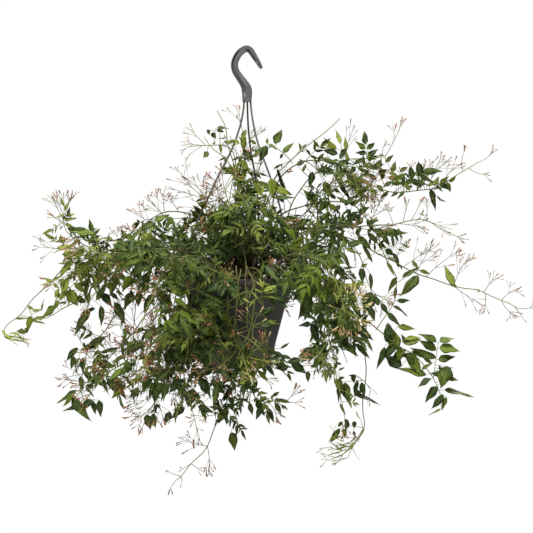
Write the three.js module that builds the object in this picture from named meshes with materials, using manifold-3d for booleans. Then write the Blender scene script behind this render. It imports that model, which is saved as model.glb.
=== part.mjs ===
// A pink jasmine (Jasminum polyanthum) in a plastic hanging pot, in millimetres, +Z up.
// The origin is the seat inside the top of the hook, where the hook lies on its rod.
// +X runs along the widest spread of the plant and -Y is the side that faces the room.
import * as THREE from 'three';
import Module from 'manifold-3d';
import { mergeVertices } from 'three/addons/utils/BufferGeometryUtils.js';

const wasm = await Module();
wasm.setup();
const { Manifold, Mesh } = wasm;

// ---------------------------------------------------------------- driving dimensions
const GAP = 0.3; // clearance between neighbouring pieces

const POT_X = -14; // the heavier right-hand foliage pulls the pot off the line of the hook
const POT_RIM_Z = -363;
const POT_RIM_RADIUS = 95; // a 19 cm pot
const POT_BASE_RADIUS = 51;
const POT_HEIGHT = 142;
const POT_WALL = 1.8;
const POT_SEGMENTS = 28;
const POT_NECK_RADIUS = 88.5; // outside of the wall, carried up to the rim
const POT_FOOT_EDGE = 2; // height and depth of the slope round the foot
const FLANGE_THICKNESS = 3;
const LIP_HEIGHT = 9;
const SLOT_WIDTH = 4.4; // a strand's notch in the flange
const SLOT_INNER_RADIUS = 89.6;
const RECESS_WIDTH = 9; // room for the strand's knob under the flange
const RECESS_INNER_RADIUS = 88.4;
const CUT_HEIGHT = 20;
const CUT_REACH = 5; // how far these cuts run out past the rim
const SLOT_RISE = 2; // and the notch above it
const FLOOR_THICKNESS = 2.2;
const DRAIN_HOLES = 4;
const DRAIN_CIRCLE_RADIUS = 33;
const DRAIN_RADIUS = 4;

const SOIL_TOP_Z = -375; // at the wall
const SOIL_CROWN = 4; // how much the middle of the soil stands above its edge
const ROOT_DEPTH = 12; // how far a stem stands in the soil
const ROOT_HOLE_RADIUS = 4.6;
const ROOT_HOLE_RISE = 8; // how far the tool that cuts a root's hole stands above the soil
const ROOT_RING_RADIUS = 62;
const ROOT_INSET = 0.9; // a root's wanted place, as a share of the way to its stem
const GOLDEN_ANGLE = 2.39996;

const STRAND_DIAMETER = 3.2;
const STRAND_SIDES = 6;
const STRAND_TOP_Z = -79;
const STRAND_SEAT_RADIUS = 91.8; // where the strands pass the flange, from the pot's axis
const STRAND_ANGLES = { left: 192, back: 72, right: -48 };
const STRAND_TOP_CIRCLE = 4.6;
const KNOB_RADIUS = 3.2;
const KNOB_HEIGHT = 5;
const STRAND_STEPS = 11;

const HOOK_X = 2.1; // middle of the hook's stem
const HOOK_DEPTH = 8;
const HOOK_FOOT_DEPTH = 13.5;
const HOOK_STEPS = 18;
const FOOT_STARTS = 0.66; // shares of the hook's length
const FOOT_ENDS = 0.92;
const TIP_ENDS = 0.12;
const SOCKET_DEPTH = 12;
const SOCKET_MIDDLE_Z = -84.5;

const STEM_ROOT_RADIUS = 1.9;
const STEM_TIP_RADIUS = 0.95;
const STEM_SIDES = 3;
const STEM_STEP = 44;
const BLADE_THICKNESS = 0.8;
const LEAF_LENGTH = 58;
const SET_DROOP = 0.1; // of the leaves that are set one by one
const FOOT_PLACES = 60; // along a stem, for the foot of such a leaf
const RIB = 0.014; // half the rib's width, in leaf lengths
const LEAFLET_FOLD = 0.28; // how steeply the leaflets slope down from the rib
const BUD_LENGTH = 9.5;
const BUD_RADIUS = 1.35;
const SPRAY_THICKNESS = 1.2;
const SPRAY_SAG = 0.08;
const PEDICEL_RADIUS = 0.5;
const CLEARANCE = 0.35; // added all round a sprig while its place is tried
const TRIES = 14;
const SLIVER = 0.12; // edges shorter than this are closed up once a piece is joined

const COLOURS = {
  pot: 0x4b4441,
  soil: 0x35281c,
  hanger: 0x6a6c6d,
  foliage: 0x4c6a2c,
  youngFoliage: 0x7f9440,
  buds: 0xb4796a,
  paleBuds: 0xc9b083,
};

// The hook's middle line in the XZ plane, from its tip to its foot, with the width there.
const HOOK_LINE = [
  [25.1, -26.4, 5.0],
  [20.0, -17.6, 7.4],
  [12.0, -4.8, 9.6],
  [6.4, 3.2, 10.2],
  [0.8, 5.4, 10.6],
  [-8.0, 0.8, 11.0],
  [-15.6, -9.6, 11.2],
  [-18.4, -20.2, 11.4],
  [-16.4, -30.4, 11.8],
  [-10.4, -40.0, 12.2],
  [-3.6, -49.6, 13.6],
  [0.8, -60.8, 15.6],
  [HOOK_X, -70.4, 16.0],
  [HOOK_X, -84.0, 14.6],
];

// Where each strand runs in X and Z, from below the hook's foot to above the flange.
const STRAND_LINES = {
  left: [[-6.4, -105.6], [-10.4, -121.6], [-21.6, -153.6], [-43.2, -196.8], [-59.7, -232],
    [-81.6, -281.6], [-97, -325]],
  back: [[3.7, -121.6], [8, -160], [14.5, -197], [19, -240], [20, -290], [17, -330]],
  right: [[11.2, -112], [18.4, -144], [29.6, -176], [41.6, -209.6], [54, -249.6], [58.6, -285],
    [55, -325]],
};

// Each leafy stem: its name, the points that it passes after it has left the soil, the
// number and size of its leaves, where along it they start, and its flower sprays as
// [place along the stem from 0 to 1, length, pairs of side branches, colour]. Leaves that are
// set one by one are [x and z of the foot, x and z of the tip, pairs of leaflets].
// A spray with a colour of its own is a separate piece; the others grow in the stem's green.
const VINES = [
  { name: 'right_whip_up', leaves: 1, from: 0.2, sprays: [],
    path: [[30, 10, -250], [46, 0, -199], [70, -10, -177], [98, -15, -155], [148, -20, -106]] },
  { name: 'right_upper', leaves: 4, from: 0.42, sprays: [[1, 52, 3, 'buds'], [0.86, 34, 2]],
    set: [[294, -218, 302, -262, 0]],
    path: [[40, 20, -270], [55, 15, -205], [90, 10, -178], [130, 5, -172], [170, 0, -190],
      [214, -5, -222], [258, -5, -224], [310, 0, -212], [335, 5, -200], [372, 5, -178]] },
  { name: 'right_top_leaves', leaves: 4, from: 0.35, sprays: [[0.75, 62, 2]],
    set: [[194, -170, 189, -123, 2], [152, -172, 147, -120, 1], [222, -170, 251, -190, 0],
      [134, -180, 112, -173, 0]],
    path: [[80, 40, -230], [120, 40, -190], [150, 30, -172], [195, 20, -168], [222, 10, -170]] },
  { name: 'right_mid', leaves: 2, from: 0.2, sprays: [[1, 46, 3, 'buds']],
    path: [[90, -30, -290], [140, -40, -280], [190, -40, -280], [257, -35, -270],
      [285, -35, -272], [322, -30, -291]] },
  { name: 'right_whip_low', leaves: 2, from: 0.25, sprays: [[1, 30, 2], [0.82, 56, 2]],
    set: [[274, -358, 245, -390, 0], [334, -372, 312, -341, 0]],
    path: [[80, -10, -280], [140, -20, -290], [180, -20, -305], [255, -20, -347],
      [300, -20, -365], [362, -20, -379], [408, -15, -398], [436, -15, -413]] },
  { name: 'right_big_leaves', leaves: 1, from: 0.3, size: 1.25, sprays: [],
    set: [[306, -518, 307, -445, 3], [312, -534, 363, -549, 0], [307, -540, 294, -571, 0],
      [298, -528, 267, -533, 0], [251, -470, 280, -515, 0], [242, -469, 219, -496, 0],
      [246, -464, 280, -458, 0], [240, -466, 237, -430, 1]],
    path: [[90, -30, -350], [150, -40, -390], [203, -40, -438], [236, -40, -462],
      [270, -40, -490], [296, -38, -518], [308, -36, -545]] },
  { name: 'right_trail', leaves: 2, from: 0.3, sprays: [[1, 48, 3]],
    set: [[188, -531, 188, -560, 0], [188, -545, 219, -563, 0], [188, -530, 162, -562, 1]],
    path: [[100, 30, -330], [160, 50, -350], [190, 45, -400], [190, 40, -458], [192, 38, -500],
      [189, 38, -530], [186, 36, -580], [190, 36, -604], [178, 36, -634], [150, 36, -650]] },
  { name: 'right_low', leaves: 4, from: 0.4, sprays: [[0.8, 34, 2]],
    path: [[78, -76, -335], [114, -90, -372], [130, -92, -425], [134, -88, -478],
      [138, -82, -524]] },
  { name: 'right_front', leaves: 3, from: 0.3, sprays: [[0.8, 58, 3, 'paleBuds']],
    set: [[157, -440, 182, -490, 0]],
    path: [[80, -60, -310], [120, -90, -340], [145, -100, -380], [156, -100, -420],
      [164, -98, -458]] },
  { name: 'right_behind', leaves: 3, from: 0.3, sprays: [[1, 40, 2]],
    path: [[70, 60, -300], [120, 90, -280], [165, 105, -300], [195, 105, -340],
      [205, 100, -380]] },
  { name: 'right_middle', leaves: 3, from: 0.2, sprays: [[0.9, 36, 2]],
    set: [[240, -360, 224, -382, 0], [240, -397, 262, -400, 0], [236, -404, 259, -419, 0],
      [227, -416, 211, -400, 0], [227, -418, 242, -438, 0]],
    path: [[60, 20, -260], [110, 0, -240], [150, -20, -240], [190, -25, -262], [212, -22, -308],
      [228, -23, -340], [240, -25, -368], [240, -25, -397], [227, -25, -416], [206, -25, -443]] },
  { name: 'top_centre', leaves: 2, from: 0.35, sprays: [[1, 60, 3, 'buds'], [0.6, 40, 2]],
    set: [[-6, -186, -40, -194, 0], [-4, -156, 12, -176, 0]],
    path: [[-6, 0, -285], [-10, -5, -237], [-8, -12, -190], [-5, -12, -160], [-3, -10, -138]] },
  { name: 'top_left', leaves: 2, from: 0.35, sprays: [[1, 44, 3]],
    path: [[-15, -20, -250], [-14, -27, -190], [-34, -27, -152], [-62, -25, -150],
      [-90, -25, -152]] },
  { name: 'top_cane', leaves: 1, from: 0.1, sprays: [],
    path: [[-22, 26, -290], [-16, 28, -200], [-30, 26, -142], [-47, 24, -88]] },
  { name: 'top_right_leaf', leaves: 1, from: 0.3, sprays: [],
    set: [[46, -152, 56, -125, 0], [59, -160, 77, -149, 0], [30, -160, 24, -183, 0]],
    path: [[10, -30, -240], [20, -38, -190], [30, -40, -160], [45, -38, -152], [62, -34, -160],
      [75, -30, -180]] },
  { name: 'crown_front', leaves: 2, from: 0.25, size: 1.1, sprays: [[1, 36, 2]],
    path: [[0, -50, -290], [15, -72, -260], [36, -80, -250], [52, -80, -262]] },
  { name: 'left_top', leaves: 3, from: 0.3, sprays: [[1, 66, 3, 'buds'], [0.7, 44, 2]],
    path: [[-50, -30, -300], [-62, -38, -262], [-68, -40, -232]] },
  { name: 'left_arch', leaves: 3, from: 0.3, size: 1.1, sprays: [],
    path: [[-60, 10, -290], [-90, 15, -262], [-130, 20, -255], [-165, 20, -275], [-200, 15, -300],
      [-225, 15, -335]] },
  { name: 'left_up', leaves: 3, from: 0.3, sprays: [[1, 46, 3, 'buds']],
    set: [[-293, -268, -270, -264, 0], [-280, -292, -252, -284, 0]],
    path: [[-70, 30, -310], [-130, 40, -314], [-190, 40, -318], [-240, 30, -316],
      [-268, 25, -300], [-288, 20, -284], [-295, 20, -268]] },
  { name: 'left_whip', leaves: 3, from: 0.25, sprays: [[1, 20, 2]],
    path: [[-80, -10, -320], [-140, -10, -315], [-200, -10, -320], [-252, -10, -328],
      [-300, -10, -355], [-330, -10, -388], [-350, -10, -408], [-384, -10, -443],
      [-384, -11, -452], [-366, -12, -458]] },
  { name: 'left_droop', leaves: 3, from: 0.25, sprays: [],
    set: [[-240, -396, -275, -450, 0], [-232, -392, -224, -438, 0], [-300, -410, -325, -429, 0]],
    path: [[-80, -40, -330], [-140, -50, -330], [-200, -50, -345], [-240, -45, -372],
      [-262, -40, -396], [-290, -40, -412], [-312, -40, -420], [-334, -40, -424]] },
  { name: 'left_front', leaves: 2, from: 0.3, size: 1.1, sprays: [[0.85, 40, 2]],
    path: [[-60, -60, -330], [-110, -90, -316], [-156, -100, -318], [-190, -100, -332],
      [-208, -95, -350]] },
  { name: 'left_behind', leaves: 2, from: 0.3, sprays: [],
    path: [[-60, 60, -320], [-120, 90, -300], [-180, 100, -315], [-230, 100, -345]] },
  { name: 'low_left_outer', leaves: 2, from: 0.45, sprays: [[0.75, 60, 3]],
    set: [[-253, -472, -216, -451, 0], [-266, -472, -288, -491, 0], [-262, -539, -299, -563, 0],
      [-259, -541, -253, -590, 1], [-256, -552, -236, -582, 0]],
    path: [[-90, -20, -340], [-140, -30, -360], [-185, -30, -400], [-220, -30, -440],
      [-246, -30, -470], [-260, -30, -502], [-260, -30, -538], [-256, -30, -552]] },
  { name: 'low_left_front', leaves: 3, from: 0.45, size: 1.1, sprays: [[0.8, 54, 3, 'buds']],
    path: [[-78, -80, -345], [-108, -104, -415], [-150, -92, -468], [-195, -85, -500],
      [-235, -80, -530]] },
  { name: 'low_left_middle', leaves: 3, from: 0.4, sprays: [[1, 62, 3, 'buds']],
    path: [[-104, -50, -345], [-128, -66, -400], [-150, -68, -432], [-176, -64, -440]] },
  { name: 'low_left_inner', leaves: 2, from: 0.45, sprays: [[1, 40, 2], [0.75, 42, 2]],
    path: [[-64, -92, -345], [-78, -112, -430], [-100, -100, -490], [-122, -92, -525],
      [-138, -90, -556]] },
  { name: 'bottom_whip', leaves: 2, from: 0.35, sprays: [[1, 40, 2, 'buds'], [0.84, 60, 2]],
    path: [[-30, -104, -345], [-26, -120, -430], [-22, -112, -520], [-34, -95, -560],
      [-43, -90, -590], [-57, -88, -618], [-84, -86, -650], [-106, -84, -672]] },
  { name: 'bottom_middle', leaves: 3, from: 0.45, sprays: [[0.7, 40, 2]],
    path: [[-14, -105, -345], [-12, -124, -430], [-6, -116, -510], [-12, -105, -560],
      [-20, -102, -592]] },
  { name: 'bottom_right', leaves: 3, from: 0.5, sprays: [[1, 44, 3, 'buds']],
    path: [[2, -108, -345], [4, -122, -420], [8, -114, -500], [28, -100, -545],
      [60, -95, -553]] },
  { name: 'front_middle', leaves: 2, from: 0.3, sprays: [[0.86, 48, 4, 'buds']],
    path: [[8, -98, -348], [14, -118, -390], [6, -128, -440], [-10, -128, -486]] },
  { name: 'front_left', leaves: 3, from: 0.3, sprays: [[1, 40, 2]],
    path: [[-44, -98, -340], [-52, -120, -390], [-46, -130, -440], [-42, -126, -490],
      [-46, -120, -535]] },
  { name: 'front_far_left', leaves: 2, from: 0.3, sprays: [[0.8, 46, 2]],
    path: [[-68, -92, -335], [-86, -118, -390], [-90, -122, -450], [-92, -118, -500],
      [-88, -114, -545]] },
  { name: 'room_left', leaves: 4, from: 0.25, size: 1.1, sprays: [[1, 46, 2]],
    path: [[-70, -110, -325], [-110, -175, -345], [-140, -210, -385], [-152, -222, -430]] },
  { name: 'room_right', leaves: 4, from: 0.25, size: 1.1, sprays: [[1, 44, 2]],
    path: [[68, -110, -325], [108, -170, -335], [138, -208, -365], [150, -222, -410]] },
  { name: 'back_right', leaves: 4, from: 0.2, sprays: [[1, 48, 2]],
    path: [[40, 100, -325], [84, 165, -328], [120, 208, -385], [134, 224, -455]] },
  { name: 'back_left', leaves: 4, from: 0.2, sprays: [[0.9, 48, 3, 'buds'], [0.55, 44, 2]],
    path: [[-60, 100, -322], [-110, 165, -328], [-140, 205, -385], [-150, 222, -455],
      [-150, 226, -510]] },
  { name: 'back_middle', leaves: 5, from: 0.2, sprays: [[1, 48, 3, 'buds'], [0.6, 44, 2]],
    path: [[-15, 110, -322], [-12, 182, -322], [-2, 228, -370], [4, 244, -440], [2, 244, -490]] },
  { name: 'back_up', leaves: 3, from: 0.3, sprays: [[1, 44, 2]],
    path: [[-10, 50, -290], [0, 78, -245], [10, 98, -218], [28, 112, -208]] },
  { name: 'back_low_right', leaves: 4, from: 0.3, sprays: [],
    path: [[32, 102, -345], [46, 126, -420], [44, 134, -480], [40, 136, -520]] },
  { name: 'back_low_left', leaves: 4, from: 0.3, sprays: [],
    path: [[-70, 92, -345], [-96, 124, -430], [-106, 132, -500], [-112, 134, -560]] },
];

// ---------------------------------------------------------------- small helpers
const UP = new THREE.Vector3(0, 0, 1);
const toRadians = THREE.MathUtils.degToRad;

function vector([x, y, z]) {
  return new THREE.Vector3(x, y, z);
}

// A repeatable draw from 0 to 1 for three whole numbers.
function draw(i, j = 0, k = 0) {
  const value = Math.sin(i * 12.9898 + j * 78.233 + k * 37.719) * 43758.5453;
  return value - Math.floor(value);
}

function spread(i, j, k) {
  return 2 * draw(i, j, k) - 1;
}

// A closed THREE geometry, with its faces all one way, as a solid that can be joined and cut.
function solidOf(geometry) {
  geometry.deleteAttribute('normal');
  geometry.deleteAttribute('uv');
  const merged = mergeVertices(geometry, 1e-4);
  const triVerts = Uint32Array.from(merged.index.array);
  const vertProperties = Float32Array.from(merged.attributes.position.array);
  const solid = new Manifold(new Mesh({ numProp: 3, vertProperties, triVerts }));
  if (solid.volume() > 0) {
    return solid;
  }
  return new Manifold(new Mesh({ numProp: 3, vertProperties, triVerts: triVerts.reverse() }));
}

// Keeps the one largest body: a sealed hollow is filled and a loose scrap is dropped.
function largestBody(solid) {
  const bodies = solid.simplify(SLIVER).decompose();
  bodies.sort((a, b) => b.volume() - a.volume());
  if (bodies.length > 1) {
    console.warn(`${bodies.length - 1} loose: ${bodies[1].volume().toFixed(2)} mm3`);
  }
  return bodies[0];
}

function geometryOf(solid) {
  const mesh = largestBody(solid).getMesh();
  const geometry = new THREE.BufferGeometry();
  geometry.setAttribute('position', new THREE.BufferAttribute(mesh.vertProperties, 3));
  geometry.setIndex(new THREE.BufferAttribute(mesh.triVerts, 1));
  geometry.computeVertexNormals();
  return geometry;
}

// Skin over rings of equal length, closed by a flat cap at each end.
function loft(rings) {
  const count = rings[0].length;
  const positions = rings.flat().flatMap((p) => [p.x, p.y, p.z]);
  const index = [];
  for (let r = 0; r + 1 < rings.length; r += 1) {
    for (let s = 0; s < count; s += 1) {
      const a = r * count + s;
      const b = r * count + ((s + 1) % count);
      index.push(a, b, a + count, b, b + count, a + count);
    }
  }
  const last = (rings.length - 1) * count;
  for (const [a, b, c] of trianglesOf(capOutline(rings[0]))) {
    index.push(a, c, b, last + a, last + b, last + c);
  }
  const geometry = new THREE.BufferGeometry();
  geometry.setAttribute('position', new THREE.Float32BufferAttribute(positions, 3));
  geometry.setIndex(index);
  return geometry;
}

// An outline split into triangles that all turn to the left, as the outline does.
function trianglesOf(outline) {
  return THREE.ShapeUtils.triangulateShape(outline, []).map(([a, b, c]) => {
    const turns = THREE.ShapeUtils.area([outline[a], outline[b], outline[c]]) > 0;
    return turns ? [a, b, c] : [a, c, b];
  });
}

// A ring seen along its own axis, so that its cap can be split into triangles.
function capOutline(ring) {
  const middle = ring.reduce((sum, p) => sum.add(p), new THREE.Vector3()).divideScalar(ring.length);
  const normal = new THREE.Vector3();
  ring.forEach((p, i) => {
    const next = ring[(i + 1) % ring.length];
    normal.add(p.clone().sub(middle).cross(next.clone().sub(middle)));
  });
  normal.normalize();
  const across = ring[0].clone().sub(middle).normalize();
  const along = normal.clone().cross(across);
  return ring.map((p) => {
    const offset = p.clone().sub(middle);
    return new THREE.Vector2(offset.dot(across), offset.dot(along));
  });
}

// Rings of a round tube along points, turned as little as possible from one to the next.
function tubeRings(points, radii, sides) {
  const rings = [];
  const tangents = points.map((p, i) => {
    const before = points[Math.max(i - 1, 0)];
    const after = points[Math.min(i + 1, points.length - 1)];
    return after.clone().sub(before).normalize();
  });
  const start = Math.abs(tangents[0].z) < 0.9 ? UP : new THREE.Vector3(1, 0, 0);
  let across = start.clone().cross(tangents[0]).normalize();
  points.forEach((p, i) => {
    across = across.clone().addScaledVector(tangents[i], -across.dot(tangents[i])).normalize();
    const along = tangents[i].clone().cross(across);
    const ring = [];
    for (let s = 0; s < sides; s += 1) {
      const angle = (2 * Math.PI * s) / sides;
      ring.push(p.clone()
        .addScaledVector(across, radii[i] * Math.cos(angle))
        .addScaledVector(along, radii[i] * Math.sin(angle)));
    }
    rings.push(ring);
  });
  return rings;
}

function tube(points, radii, sides) {
  return solidOf(loft(tubeRings(points, radii, sides)));
}

function turned(profile, segments) {
  const lathe = new THREE.LatheGeometry(profile.map(([r, z]) => new THREE.Vector2(r, z)), segments);
  lathe.rotateX(Math.PI / 2);
  return solidOf(lathe);
}

function standard(colour, roughness) {
  return new THREE.MeshStandardMaterial({ color: colour, roughness, metalness: 0 });
}

function named(name, solid, colour, roughness) {
  const mesh = new THREE.Mesh(geometryOf(solid), standard(colour, roughness));
  mesh.name = name;
  return mesh;
}

// ---------------------------------------------------------------- pot and soil
const POT_BASE_Z = POT_RIM_Z - POT_HEIGHT;
const POT_TAPER = (POT_NECK_RADIUS - POT_BASE_RADIUS) / POT_HEIGHT;

// Outside radius of the pot's wall at a height.
function potRadius(z) {
  return POT_BASE_RADIUS + (z - POT_BASE_Z) * POT_TAPER;
}

function makePot() {
  const flangeUnder = POT_RIM_Z - FLANGE_THICKNESS;
  const lipEnd = POT_RIM_Z - LIP_HEIGHT;
  const floor = POT_BASE_Z + FLOOR_THICKNESS;
  let pot = turned([
    [0, POT_BASE_Z],
    [POT_BASE_RADIUS - POT_FOOT_EDGE, POT_BASE_Z],
    [potRadius(POT_BASE_Z + POT_FOOT_EDGE), POT_BASE_Z + POT_FOOT_EDGE],
    [potRadius(flangeUnder), flangeUnder],
    [POT_RIM_RADIUS - POT_WALL, flangeUnder],
    [POT_RIM_RADIUS - POT_WALL, lipEnd],
    [POT_RIM_RADIUS, lipEnd],
    [POT_RIM_RADIUS, POT_RIM_Z - 1],
    [POT_RIM_RADIUS - 1, POT_RIM_Z],
    [POT_NECK_RADIUS - POT_WALL + 0.6, POT_RIM_Z],
    [potRadius(flangeUnder) - POT_WALL, flangeUnder],
    [potRadius(floor) - POT_WALL, floor],
    [0, floor],
  ], POT_SEGMENTS);
  const outer = POT_RIM_RADIUS + CUT_REACH;
  const cuts = [
    [SLOT_WIDTH, SLOT_INNER_RADIUS, SLOT_RISE],
    [RECESS_WIDTH, RECESS_INNER_RADIUS, -FLANGE_THICKNESS],
  ];
  for (const angle of Object.values(STRAND_ANGLES)) {
    for (const [width, inner, top] of cuts) {
      const slot = new THREE.BoxGeometry(outer - inner, width, CUT_HEIGHT);
      slot.translate((outer + inner) / 2, 0, POT_RIM_Z + top - CUT_HEIGHT / 2);
      slot.rotateZ(toRadians(angle));
      pot = pot.subtract(solidOf(slot));
    }
  }
  for (let i = 0; i < DRAIN_HOLES; i += 1) {
    const drain = new THREE.CylinderGeometry(DRAIN_RADIUS, DRAIN_RADIUS, 12, 8);
    drain.rotateX(Math.PI / 2);
    drain.translate(DRAIN_CIRCLE_RADIUS, 0, POT_BASE_Z);
    drain.rotateZ(Math.PI / 4 + (i * 2 * Math.PI) / DRAIN_HOLES);
    pot = pot.subtract(solidOf(drain));
  }
  return pot.translate([POT_X, 0, 0]);
}

function makeSoil(roots) {
  const inner = (z) => potRadius(z) - POT_WALL - GAP - 0.15;
  const bottom = POT_BASE_Z + FLOOR_THICKNESS + GAP;
  let soil = turned([
    [0, bottom],
    [inner(bottom) - 0.3, bottom],
    [inner(SOIL_TOP_Z), SOIL_TOP_Z],
    [inner(SOIL_TOP_Z) - 30, SOIL_TOP_Z + SOIL_CROWN * 0.8],
    [0, SOIL_TOP_Z + SOIL_CROWN],
  ], POT_SEGMENTS).translate([POT_X, 0, 0]);
  const holeHeight = ROOT_DEPTH + SOIL_CROWN + ROOT_HOLE_RISE;
  const holeBottom = SOIL_TOP_Z - ROOT_DEPTH - GAP;
  for (const root of roots) {
    const hole = new THREE.CylinderGeometry(ROOT_HOLE_RADIUS, ROOT_HOLE_RADIUS, holeHeight, 3);
    hole.rotateX(Math.PI / 2);
    hole.translate(root.x, root.y, holeBottom + holeHeight / 2);
    soil = soil.subtract(solidOf(hole));
  }
  return soil;
}

// ---------------------------------------------------------------- hanger
// The hook's section: two flanges joined by a thinner web, so both flats carry a groove.
const HOOK_SECTION = [[1, 1], [0.55, 1], [0.42, 0.5], [-0.42, 0.5], [-0.55, 1], [-1, 1],
  [-1, -1], [-0.55, -1], [-0.42, -0.5], [0.42, -0.5], [0.55, -1], [1, -1]];

function makeHook(strandTops) {
  const points = HOOK_LINE.map(([x, z]) => vector([x, 0, z]));
  const line = new THREE.CatmullRomCurve3(points, false, 'centripetal');
  const rings = [];
  for (let i = 0; i <= HOOK_STEPS; i += 1) {
    const t = i / HOOK_STEPS;
    const middle = line.getPoint(t);
    const tangent = line.getTangent(t);
    const across = new THREE.Vector3(tangent.z, 0, -tangent.x);
    const at = t * (HOOK_LINE.length - 1);
    const low = Math.min(Math.floor(at), HOOK_LINE.length - 2);
    const width = THREE.MathUtils.lerp(HOOK_LINE[low][2], HOOK_LINE[low + 1][2], at - low);
    const foot = THREE.MathUtils.smoothstep(t, FOOT_STARTS, FOOT_ENDS);
    const tipped = THREE.MathUtils.smoothstep(t, 0, TIP_ENDS);
    const depth = THREE.MathUtils.lerp(HOOK_DEPTH, HOOK_FOOT_DEPTH, foot) * (0.6 + 0.4 * tipped);
    rings.push(HOOK_SECTION.map(([u, v]) => {
      const corner = Math.abs(u) === 1 ? 0.78 : 1;
      const webbed = Math.abs(v) === 0.5 ? v * (1 + 0.9 * foot) : v * corner;
      return middle.clone()
        .addScaledVector(across, (u * width) / 2)
        .add(new THREE.Vector3(0, (webbed * depth) / 2, 0));
    }));
  }
  let hook = solidOf(loft(rings));
  const bore = STRAND_DIAMETER / 2 + GAP;
  for (const top of strandTops) {
    const socket = new THREE.CylinderGeometry(bore, bore, SOCKET_DEPTH, 8);
    socket.rotateX(Math.PI / 2);
    socket.translate(top.x, top.y, SOCKET_MIDDLE_Z);
    hook = hook.subtract(solidOf(socket));
  }
  return hook;
}

function strandTop(angle) {
  const turn = toRadians(angle);
  return new THREE.Vector3(
    HOOK_X + STRAND_TOP_CIRCLE * Math.cos(turn),
    STRAND_TOP_CIRCLE * Math.sin(turn),
    STRAND_TOP_Z,
  );
}

// A strand runs down from its socket, bows outwards and ends in a knob under the flange.
function makeStrand(side) {
  const turn = toRadians(STRAND_ANGLES[side]);
  const top = strandTop(STRAND_ANGLES[side]);
  const seatX = POT_X + STRAND_SEAT_RADIUS * Math.cos(turn);
  const seatY = STRAND_SEAT_RADIUS * Math.sin(turn);
  const seatTop = POT_RIM_Z + 10;
  const middle = STRAND_LINES[side].map(([x, z]) => {
    const fall = ((STRAND_TOP_Z - z) / (STRAND_TOP_Z - seatTop)) ** 1.2;
    return new THREE.Vector3(x, THREE.MathUtils.lerp(top.y, seatY, fall), z);
  });
  const curve = new THREE.CatmullRomCurve3([
    top.clone().add(new THREE.Vector3(0, 0, -8)),
    ...middle,
    new THREE.Vector3(seatX, seatY, seatTop),
  ], false, 'centripetal');
  const knobTop = POT_RIM_Z - FLANGE_THICKNESS - GAP;
  const points = [
    top,
    ...curve.getSpacedPoints(STRAND_STEPS),
    new THREE.Vector3(seatX, seatY, knobTop),
  ];
  const radii = points.map(() => STRAND_DIAMETER / 2);
  const strand = tube(points, radii, STRAND_SIDES);
  const knob = new THREE.CylinderGeometry(KNOB_RADIUS, KNOB_RADIUS * 0.6, KNOB_HEIGHT, 8);
  knob.rotateX(Math.PI / 2);
  knob.translate(seatX, seatY, knobTop - KNOB_HEIGHT / 2);
  return strand.add(solidOf(knob));
}

// ---------------------------------------------------------------- leaves and flower buds
// A thin plate: an outline of points in the plane, each put in its place in space, with the
// same triangles on its upper and lower face. The outline turns to the left.
function plate(outline, toSpace, thickness) {
  const flat = outline.map(([x, y]) => new THREE.Vector2(x, y));
  const count = outline.length;
  const index = [];
  for (const [a, b, c] of trianglesOf(flat)) {
    index.push(a, b, c, a + count, c + count, b + count);
  }
  for (let i = 0; i < count; i += 1) {
    const next = (i + 1) % count;
    index.push(i, i + count, next, next, i + count, next + count);
  }
  const faces = [thickness / 2, -thickness / 2];
  const positions = faces.flatMap((lift) => outline.flatMap((p) => toSpace(p, lift).toArray()));
  const geometry = new THREE.BufferGeometry();
  geometry.setAttribute('position', new THREE.Float32BufferAttribute(positions, 3));
  geometry.setIndex(index);
  return solidOf(geometry);
}

// Three directions at right angles: along a sprig, across it and out of its upper face.
function sprigAxes(direction, facing) {
  const along = direction.clone().normalize();
  const normal = facing.clone().addScaledVector(along, -facing.dot(along)).normalize();
  return { along, normal, across: normal.clone().cross(along) };
}

// One pinnate leaf as a flat outline, cut to its rib between the leaflets: x along the
// rib and y across it, both in lengths of the leaf. Leaflets point forward and end in a tip.
// Without pairs it is a single leaflet.
function leafOutline(pairs) {
  if (pairs === 0) {
    return [[0, 0], [0.3, -0.17], [0.66, -0.12], [1, 0], [0.66, 0.12], [0.3, 0.17]];
  }
  const right = [];
  for (let pair = 0; pair < pairs; pair += 1) {
    const foot = 0.24 + (0.34 * (pair + (pairs === 1 ? 0.6 : 0))) / Math.max(pairs - 1, 1);
    const reach = 0.3 - 0.02 * pair;
    right.push([foot - 0.2 * reach, RIB]);
    right.push([foot + 0.62 * reach, RIB + 0.88 * reach]);
    right.push([foot + 0.46 * reach, RIB + 0.28 * reach]);
  }
  right.push([0.76, 0.115]);
  const left = right.map(([x, y]) => [x, -y]);
  return [[0, 0], ...left, [1, 0], ...right.reverse()];
}

// A leaf's blade, bent down along its rib and folded down on both sides of it.
function leafBlade(foot, direction, facing, length, pairs, droop, thickness) {
  const { along, normal, across } = sprigAxes(direction, facing);
  const toSpace = ([x, y], lift) => {
    const sag = -droop * x * x - LEAFLET_FOLD * Math.max(Math.abs(y) - RIB, 0);
    return foot.clone()
      .addScaledVector(along, length * x * (1 - 0.18 * droop * x))
      .addScaledVector(across, length * y)
      .addScaledVector(normal, length * sag + lift);
  };
  return plate(leafOutline(pairs), toSpace, thickness);
}

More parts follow.
